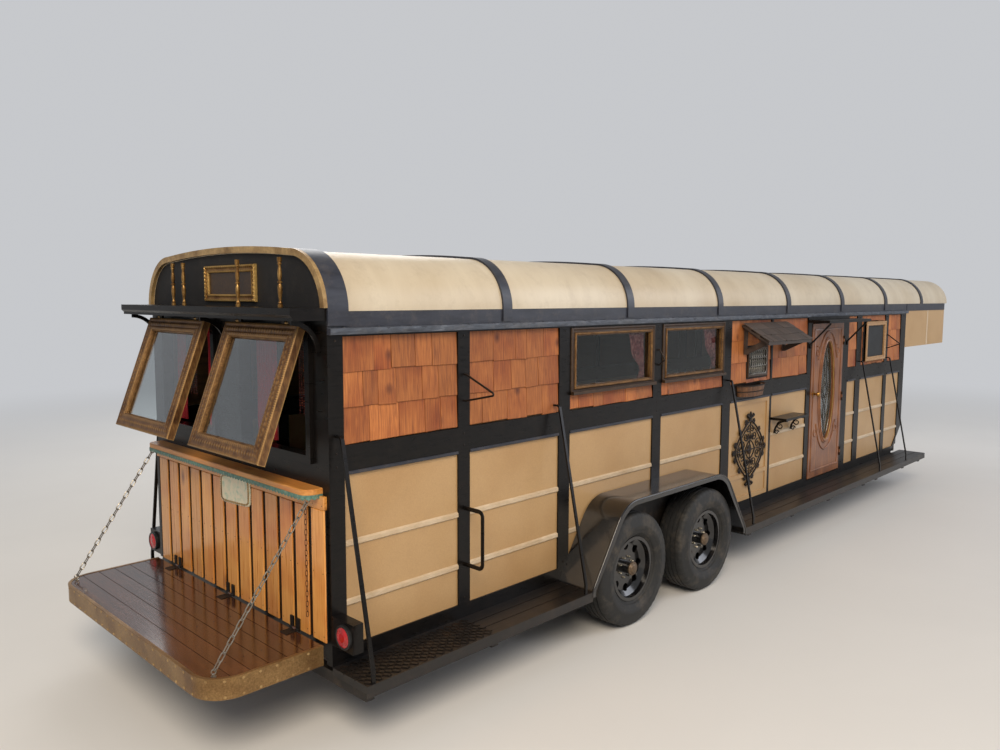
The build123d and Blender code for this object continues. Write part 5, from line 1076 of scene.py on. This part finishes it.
# dark sheet on the wall within each fender: painted shade under the fenders, between the tyres
well = {"foot": 0.990, "low": 0.384, "shoulder": 0.652, "top": 0.884, "bend": 0.245, "base": 0.9995, "face": 1.0030}
corners = [(-well["foot"], well["low"]), (-well["shoulder"], well["top"]),
           (well["shoulder"], well["top"]), (well["foot"], well["low"])]
line = rounded(corners, well["bend"], 12) + [at(fender["middle"]), 0]
ends = np.array([np.arange(len(line))[::-1], len(line) + np.arange(len(line))])
parts = [(np.concatenate([onWall(line, side, well["base"]), onWall(line, side, well["face"])]),
          gridFaces(2, len(line), wrapCols=True), ends) for side in (-1, 1)]
makePiece("wheel_well_painted_shade", parts, chassisPaint, sharp=30)


def bent(x, side, corners, bend, steps=5):
    # line in a plane across the wagon through (distance from the middle, height), its corners rounded
    return rounded([(at(x), side * out, z) for out, z in corners], bend, steps)


# stays: flat bars from the posts to the edge of the running boards; bent hangers; latch handle
stays = {"posts": (45, 1690, 3900, 6765, 7592), "wall": 1.0005, "top": 1.550, "out": 1.045, "knee": 0.441,
         "foot": 1.276, "low": 0.3815, "wide": 0.0144}
# hangers are (post, top, drop, reach)
hangers = [(905, 1.800, 0.150, 0.255), (2865, 1.850, 0.110, 0.060), (7592, 1.810, 0.150, 0.150)]
latch = {"post": 905, "top": 1.030, "low": 0.700, "out": 1.150, "wide": 0.013}
wall = stays["wall"]
parts, rods = [], []
for side in (-1, 1):
    for x in stays["posts"]:
        line = bent(x, side, [(wall, stays["top"]), (stays["out"], stays["top"]), (stays["foot"], stays["knee"]),
                              (stays["foot"], stays["low"])], 0.02)
        parts.append(along(line, stays["wide"], 4, flat=0.55, up=(0, 1, 0.2)))
    for x, z, drop, reach in hangers:
        line = bent(x, side, [(wall, z), (1.016, z), (1 + reach, z - drop * 0.65), (1.016, z - drop),
                              (wall, z - drop)], 0.009)
        rods.append(along(line, 0.006, up=(1, 0, 0)))
    line = bent(latch["post"], side, [(wall, latch["top"]), (latch["out"], latch["top"]), (latch["out"], latch["low"]),
                                      (wall, latch["low"])], 0.03, 6)
    parts.append(along(line, latch["wide"], flat=0.5, up=(1, 0, 0)))
makePiece("flat_stay_bars", parts, blackEnamel, replaces=("stay_rods",), sharp=40)
makePiece("bent_hangers", rods, iron, sharp=50)
print("stays set")

# door: raised moulding round the oval, gilt sight line, lead cames across the light, mouldings on the panels
door = {"middle": 5935, "z": 1.300, "face": 1.005, "proud": 1.006, "cames": 0.9895, "low": 0.443, "high": 1.980,
        "left": 5555, "right": 6315, "knob": 5625, "knobZ": 1.290}
doorMiddle = np.array([at(door["middle"]), door["z"]])
turn = fullTurn(120)
circle = stacked(np.cos(turn), np.sin(turn))


def oval(a, b):
    # oval of these two half axes round the middle of the door
    return doorMiddle + circle * (a, b)


makePiece("door_oval_moulding", [wallBar(oval(0.176, 0.516), 1.013, 0.011, 10, True, 0.7),
                                 wallBar(oval(0.196, 0.536), door["proud"], 0.009, 10, True, 0.8)],
          doorWood, "entry_door")
makePiece("door_gilt_line", [wallBar(oval(0.1595, 0.4995), 1.008, 0.0045, 10, True)], gilt, "entry_door")
lines = [oval(0.128, 0.468)]
t = np.linspace(-1, 1, 60)
bow = 0.052 * np.cos(np.pi * t / 2) ** 2 * (1 + 0.5 * np.cos(3 * np.pi * t))
spray, fall = 0.02 + 0.105 * np.abs(t), 0.30 - 0.22 * np.abs(t) ** 1.5
for s in (-1, 1):
    lines += [doorMiddle + stacked(s * u, v) for u, v in ((bow, 0.46 * t), (spray, fall), (spray, -fall))]
lines.append(doorMiddle + [(-0.05, 0), (0, 0.09), (0.05, 0), (0, -0.09), (-0.05, 0)])
makePiece("leaded_cames", [wallBar(line, door["cames"], 0.0032, 6) for line in lines], leadCame, "entry_door", sharp=60)
doorProfile = [(0.0, 0.0), (0.002, 0.006), (0.008, 0.0085), (0.014, 0.006), (0.018, 0.0015), (0.018, 0.0)]
parts = [moulding((at(door["left"]) + 0.045, door["low"] + 0.06), (at(door["right"]) - 0.045, door["high"] - 0.05),
                  doorProfile, wallPlane(-1, door["face"]))]
bend = np.linspace(0.18, 0.82, 40) * np.pi
for s in (-1, 1):
    arc = doorMiddle + stacked(0.275 * np.cos(bend), s * 0.600 * np.sin(bend))
    parts.append(wallBar(arc, door["proud"], 0.0085))
    for k in (-1, 1):
        curl = spiral((0.245, s * 0.40), 0.062, 1.4, np.pi / 2 + k * s * 0.4)
        parts.append(wallBar(doorMiddle + curl * (k, 1), door["proud"], np.linspace(0.007, 0.004, len(curl))))
makePiece("door_panel_mouldings", parts, doorWood, "entry_door", sharp=40)
escutcheon = [(0.0, 0.036), (0.003, 0.036), (0.006, 0.030), (0.006, 0.012)]
makePiece("door_knob_plate", [turned(escutcheon, (at(door["knob"]), -door["face"], door["knobZ"]), 1, 32, -1)],
          brass, "entry_door")
print("door dressed")

# iron medallion: lozenge rims, scrolls mirrored four ways, rosettes round the rim and leaf finials up and down
medallion = {"middle": 4327.5, "z": 0.909, "half": (0.282, 0.276), "power": 1.35, "face": 1.007, "cross": 0.26,
             "rims": ((0.93, 0.0075), (0.80, 0.005), (0.30, 0.006)), "rosettes": 16}
ironMiddle = np.array([at(medallion["middle"]), medallion["z"]])


def lozenge(share, count):
    # |u|^power + |v|^power is the same all round: a diamond whose sides bow outwards
    turn = fullTurn(count)
    circle = stacked(np.cos(turn), np.sin(turn))
    half = share * np.array(medallion["half"])
    return ironMiddle + half * np.sign(circle) * np.abs(circle) ** (2 / medallion["power"])


parts = [wallBar(lozenge(share, 96), medallion["face"], size, closed=True) for share, size in medallion["rims"]]
# middle of each scroll, its size, turns and start
scrolls = [((0.075, 0.120), 0.044, 1.5, 2.6), ((0.135, 0.045), 0.040, 1.4, 1.2), ((0.040, 0.185), 0.026, 1.2, 4.0),
           ((0.190, 0.022), 0.022, 1.2, 0.4), ((0.028, 0.105), 0.026, 1.3, 5.4)]
for scroll in scrolls:
    curl = spiral(*scroll, steps=34)
    for mirror in ((-1, -1), (-1, 1), (1, -1), (1, 1)):
        parts.append(wallBar(ironMiddle + curl * mirror, medallion["face"], np.linspace(0.006, 0.0042, len(curl)), 6))
for reach in ((medallion["cross"], 0), (0, medallion["cross"])):
    parts.append(wallBar([ironMiddle - reach, ironMiddle + reach], medallion["face"] - 0.001, 0.005, 6))
petals = fullTurn(24)


def rosette(place, size):
    # six petals: the radius swells six times round, the height bulges between hub and rim
    rings = []
    for share, height in ((0.02, 0.011), (0.25, 0.010), (0.32, 0.006), (0.6, 0.0095), (0.9, 0.006), (1.0, 0.0)):
        r = size * share * (1 + 0.22 * share * np.cos(6 * petals))
        rings.append(stacked(place[0] + r * np.cos(petals), -(1.0005 + height), place[1] + r * np.sin(petals)))
    return np.concatenate(rings), gridFaces(len(rings), len(petals), wrapCols=True), np.arange(len(petals))[None]


parts += [rosette(place, 0.024) for place in lozenge(1.0, medallion["rosettes"])]
parts.append(rosette(ironMiddle, 0.040))
t = np.linspace(0, 1, 24)
thick = 0.011 * np.sin(np.pi * (0.08 + 0.9 * t)) ** 0.7 + 0.001
for s in (-1, 1):
    parts.append(rosette(ironMiddle + (0, s * 0.285), 0.030))
    for k, long in ((-1, 0.040), (0, 0.058), (1, 0.040)):
        finial = ironMiddle + stacked(k * 0.055 * np.sin(np.pi * t * 0.8), s * (0.280 + long * t))
        parts.append(wallBar(finial, medallion["face"], thick))
makePiece("scrolled_iron_medallion", parts, iron, replaces=("medallion",), sharp=50)

# wire grille of overlapping loops over the small window, in a dark wooden frame
grille = {"left": 4283, "right": 4596, "low": 1.570, "high": 1.780, "face": 1.004, "loop": 0.034, "inset": 0.030,
          "rows": 3, "across": 8, "wire": 0.0022}
turn = fullTurn(20)
loop = stacked(0.8 * grille["loop"] * np.cos(turn), 1.05 * grille["loop"] * np.sin(turn))
rise = (grille["high"] - grille["low"]) / grille["rows"]
parts = []
for row in range(grille["rows"]):
    for x in np.linspace(at(grille["left"]) + grille["inset"], at(grille["right"]) - grille["inset"], grille["across"]):
        line = loop + (x, grille["low"] + rise * (row + 0.5))
        parts.append(wallBar(line, grille["face"] + 0.003 * (row % 2), grille["wire"], 5, closed=True))
makePiece("wire_window_grille", parts, zinc, sharp=60)
smallProfile = [(-0.026, -0.015), (-0.026, 0.006), (-0.020, 0.010), (-0.010, 0.009), (-0.004, 0.005), (0.001, 0.004),
                (0.001, -0.012)]
makePiece("small_window_frame", [moulding((at(grille["left"]), grille["low"]), (at(grille["right"]), grille["high"]),
                                          smallProfile, wallPlane(-1, 0.997))], darkBronze)

# half-round planter tub: staves side by side in a half ellipse, a hoop, a rolled rim and earth inside
tub = {"middle": 4289.5, "half": (0.2255, 0.094), "low": 1.392, "high": 1.486, "earth": 1.464, "hoop": 1.435,
       "staves": 20, "taper": 0.88, "groove": 0.0022}
turn = np.linspace(0, np.pi, 8 * tub["staves"] + 1)
groove = tub["groove"] * (np.arange(len(turn)) % 8 == 0)
rings = []
for share, z, inset in ((0, tub["low"], 0.08), (0, tub["low"], 0), (0.5, (tub["low"] + tub["high"]) / 2, 0),
                        (1, tub["high"], 0), (1, tub["high"], 0.010), (0.8, tub["earth"], 0.011),
                        (0.8, tub["earth"], 0.085)):
    wide = tub["taper"] + (1 - tub["taper"]) * share
    a, b = (half * wide - inset - groove for half in tub["half"])
    rings.append(stacked(at(tub["middle"]) + a * np.cos(turn), -1.0 - np.maximum(b, 0.002) * np.sin(turn), z))
staveTone = np.repeat(draw.uniform(0, 1, tub["staves"] + 1), 8)[:len(turn)]
makePiece("planter_tub", [(np.concatenate(rings), gridFaces(len(rings), len(turn)))], tubWood,
          tone=np.tile(staveTone, len(rings)), replaces=("planter",), weld=False, sharp=30)
parts = []
for share, z, size in ((1.0, tub["high"], 0.008), (0.94, tub["hoop"], 0.005)):
    a, b = (half * share for half in tub["half"])
    parts.append(along(stacked(at(tub["middle"]) + a * np.cos(turn), -1.0 - b * np.sin(turn), z), size, flat=0.8))
makePiece("planter_rim_and_hoop", parts, iron, sharp=50)

# shelf: curls of bar iron under it, between the bracket and the board; each (out, up, size, start)
shelf = {"brackets": (4792, 5133), "curls": ((1.062, 1.072, 0.040, 1.2), (1.030, 1.010, 0.022, 0.2))}
parts = []
for x in shelf["brackets"]:
    for out, up, size, start in shelf["curls"]:
        p = spiral((out, up), size, 1.3, start, steps=30)
        parts.append(along(stacked(at(x), -p[:, 0], p[:, 1]), np.linspace(0.006, 0.004, len(p)), 6, up=(1, 0, 0)))
makePiece("shelf_scrolls", parts, iron, sharp=50)

# blank board ahead of the door: bleached oak moulding over its frame
signProfile = [(0.0, -0.020), (0.0, 0.002), (0.004, 0.009), (0.012, 0.011), (0.018, 0.006), (0.026, 0.0035),
               (0.033, 0.006), (0.040, 0.007), (0.046, 0.002), (0.0465, -0.012)]
left, right, low, high = plates["sign"]
makePiece("board_frame", [moulding((at(left), low), (at(right), high), signProfile, wallPlane(-1, 1.025))], bleachedOak)

# weathered shingles on the side awning: three courses up the slope
roofing = {"from": 4133, "to": 4966, "back": 2.005, "out": 0.245, "drop": 0.150, "courses": 3, "board": 0.0135,
           "overhang": 0.004}
long = math.hypot(roofing["out"], roofing["drop"])
uphill, lift = np.array([roofing["out"], roofing["drop"]]) / long, np.array([-roofing["drop"], roofing["out"]]) / long


def awningSlope(p):
    # (along X, up the slope from the lower edge, off the board that carries the shingles)
    x, up, off = p.T
    off = off + roofing["board"]
    y = -1.0 - roofing["out"] + uphill[0] * up + lift[0] * off
    return stacked(x, y, roofing["back"] - roofing["drop"] + uphill[1] * up + lift[1] * off)


facts = dict(shingles, widths=(0.06, 0.13), butt=0.011, head=0.003, raggedness=0.010)
rows = []
for k in range(roofing["courses"]):
    low = k * long / roofing["courses"] - roofing["overhang"]
    high = min(low + long / roofing["courses"] + facts["lap"], long)
    rows.append(shingleRow(at(roofing["from"]), at(roofing["to"]), low, high, awningSlope, facts))
shapes, tones = zip(*rows)
makePiece("awning_shingles", shapes, darkCedar, tone=np.concatenate(tones), weld=False, sharp=20)
print("right side dressed")

# pale floor and backdrop of one shade; with distance the floor fades into the backdrop, where the camera looks at it
studio = {"shade": "#e6e8ec", "seen": 0.72, "lights": 0.52, "fadeFrom": 5.6, "fadeTo": 17.0}
floorPaint = finish("matt_pale_floor", [(0.3, "#d8d6d2"), (0.7, "#dcdad6")], grain=0.5, rough=(0.8, 0.9), bump=0)
tree = floorPaint.node_tree
out, shader = tree.nodes["Material Output"], tree.nodes["Principled BSDF"]
place = addNode(tree, "TexCoord")
distance = addNode(tree, "VectorMath", {"operation": "LENGTH"}, {0: (place, "Object")})
faded = addNode(tree, "MapRange", {"interpolation_type": "SMOOTHSTEP", "From Min": studio["fadeFrom"],
                "From Max": studio["fadeTo"]}, {"Value": (distance, "Value")})
seen = addNode(tree, "LightPath")
share = addNode(tree, "Math", {"operation": "MULTIPLY"}, {0: (faded, 0), 1: (seen, "Is Camera Ray")})
glow = addNode(tree, "Emission", {"Color": linear(studio["shade"]), "Strength": studio["seen"]})
blend = addNode(tree, "MixShader", None, {0: (share, 0), 1: (shader, 0), 2: (glow, 0)})
tree.links.new(blend.outputs[0], out.inputs[0])
floor = makePiece("pale_floor", [([(-60, -60, 0), (60, -60, 0), (60, 60, 0), (-60, 60, 0)], [[0, 1, 2, 3]])],
                  floorPaint, body=None, weld=False)

# the backdrop is seen brighter than it lights
world = bpy.data.worlds.new("pale_studio")
bpy.context.scene.world = world
world.use_nodes = True
tree = world.node_tree
backdrop = tree.nodes["Background"]
backdrop.inputs["Color"].default_value = linear(studio["shade"])
seen = addNode(tree, "LightPath")
strength = addNode(tree, "MapRange", {"To Min": studio["lights"], "To Max": studio["seen"]},
                   {"Value": (seen, "Is Camera Ray")})
tree.links.new(strength.outputs[0], backdrop.inputs["Strength"])

# soft round lamps: a warm key from behind the camera, a cool fill from its right, a white one from the far side
lamps = {
    "key": {"place": (-9.5, -7.5, 8.5), "aim": (0, 0, 1.2), "size": 6.0, "power": 1200, "shade": "#fff0dc"},
    "fill": {"place": (7.0, -9.0, 6.0), "aim": (1.0, 0, 1.2), "size": 8.0, "power": 520, "shade": "#eef3ff"},
    "back": {"place": (2.0, 9.0, 8.0), "aim": (0, 0, 1.5), "size": 8.0, "power": 450, "shade": "#ffffff"},
}
for name, facts in lamps.items():
    data = bpy.data.lights.new(name, "AREA")
    data.shape, data.size, data.energy = "DISK", facts["size"], facts["power"]
    data.color = linear(facts["shade"])[:3]
    lamp = bpy.data.objects.new(name, data)
    bpy.context.scene.collection.objects.link(lamp)
    lamp.location = facts["place"]
    lamp.rotation_mode = "QUATERNION"
    lamp.rotation_quaternion = (Vector(facts["aim"]) - Vector(facts["place"])).to_track_quat("-Z", "Y")

# camera at the photograph's place: its axes worked out from heading, tilt and roll
camera = {"place": (-6.779, -4.311, 2.238), "heading": 44.286, "down": 5.564, "roll": 0.173, "lens": 29.04}
h, d, r = (math.radians(camera[k]) for k in ("heading", "down", "roll"))
ahead = np.array([math.cos(h) * math.cos(d), math.sin(h) * math.cos(d), -math.sin(d)])
right = np.array([math.sin(h), -math.cos(h), 0.0])
upward = np.cross(right, ahead)
right, upward = math.cos(r) * right + math.sin(r) * upward, -math.sin(r) * right + math.cos(r) * upward
cameraData = bpy.data.cameras.new("photo_camera")
cameraData.lens, cameraData.sensor_width, cameraData.clip_end = camera["lens"], 36.0, 300
cameraObject = bpy.data.objects.new("photo_camera", cameraData)
bpy.context.scene.collection.objects.link(cameraObject)
axes = np.eye(4)
axes[:3, 0], axes[:3, 1], axes[:3, 2], axes[:3, 3] = right, upward, -ahead, camera["place"]
cameraObject.matrix_world = Matrix(axes.tolist())
bpy.context.scene.camera = cameraObject
bpy.context.scene.view_settings.view_transform = "Standard"
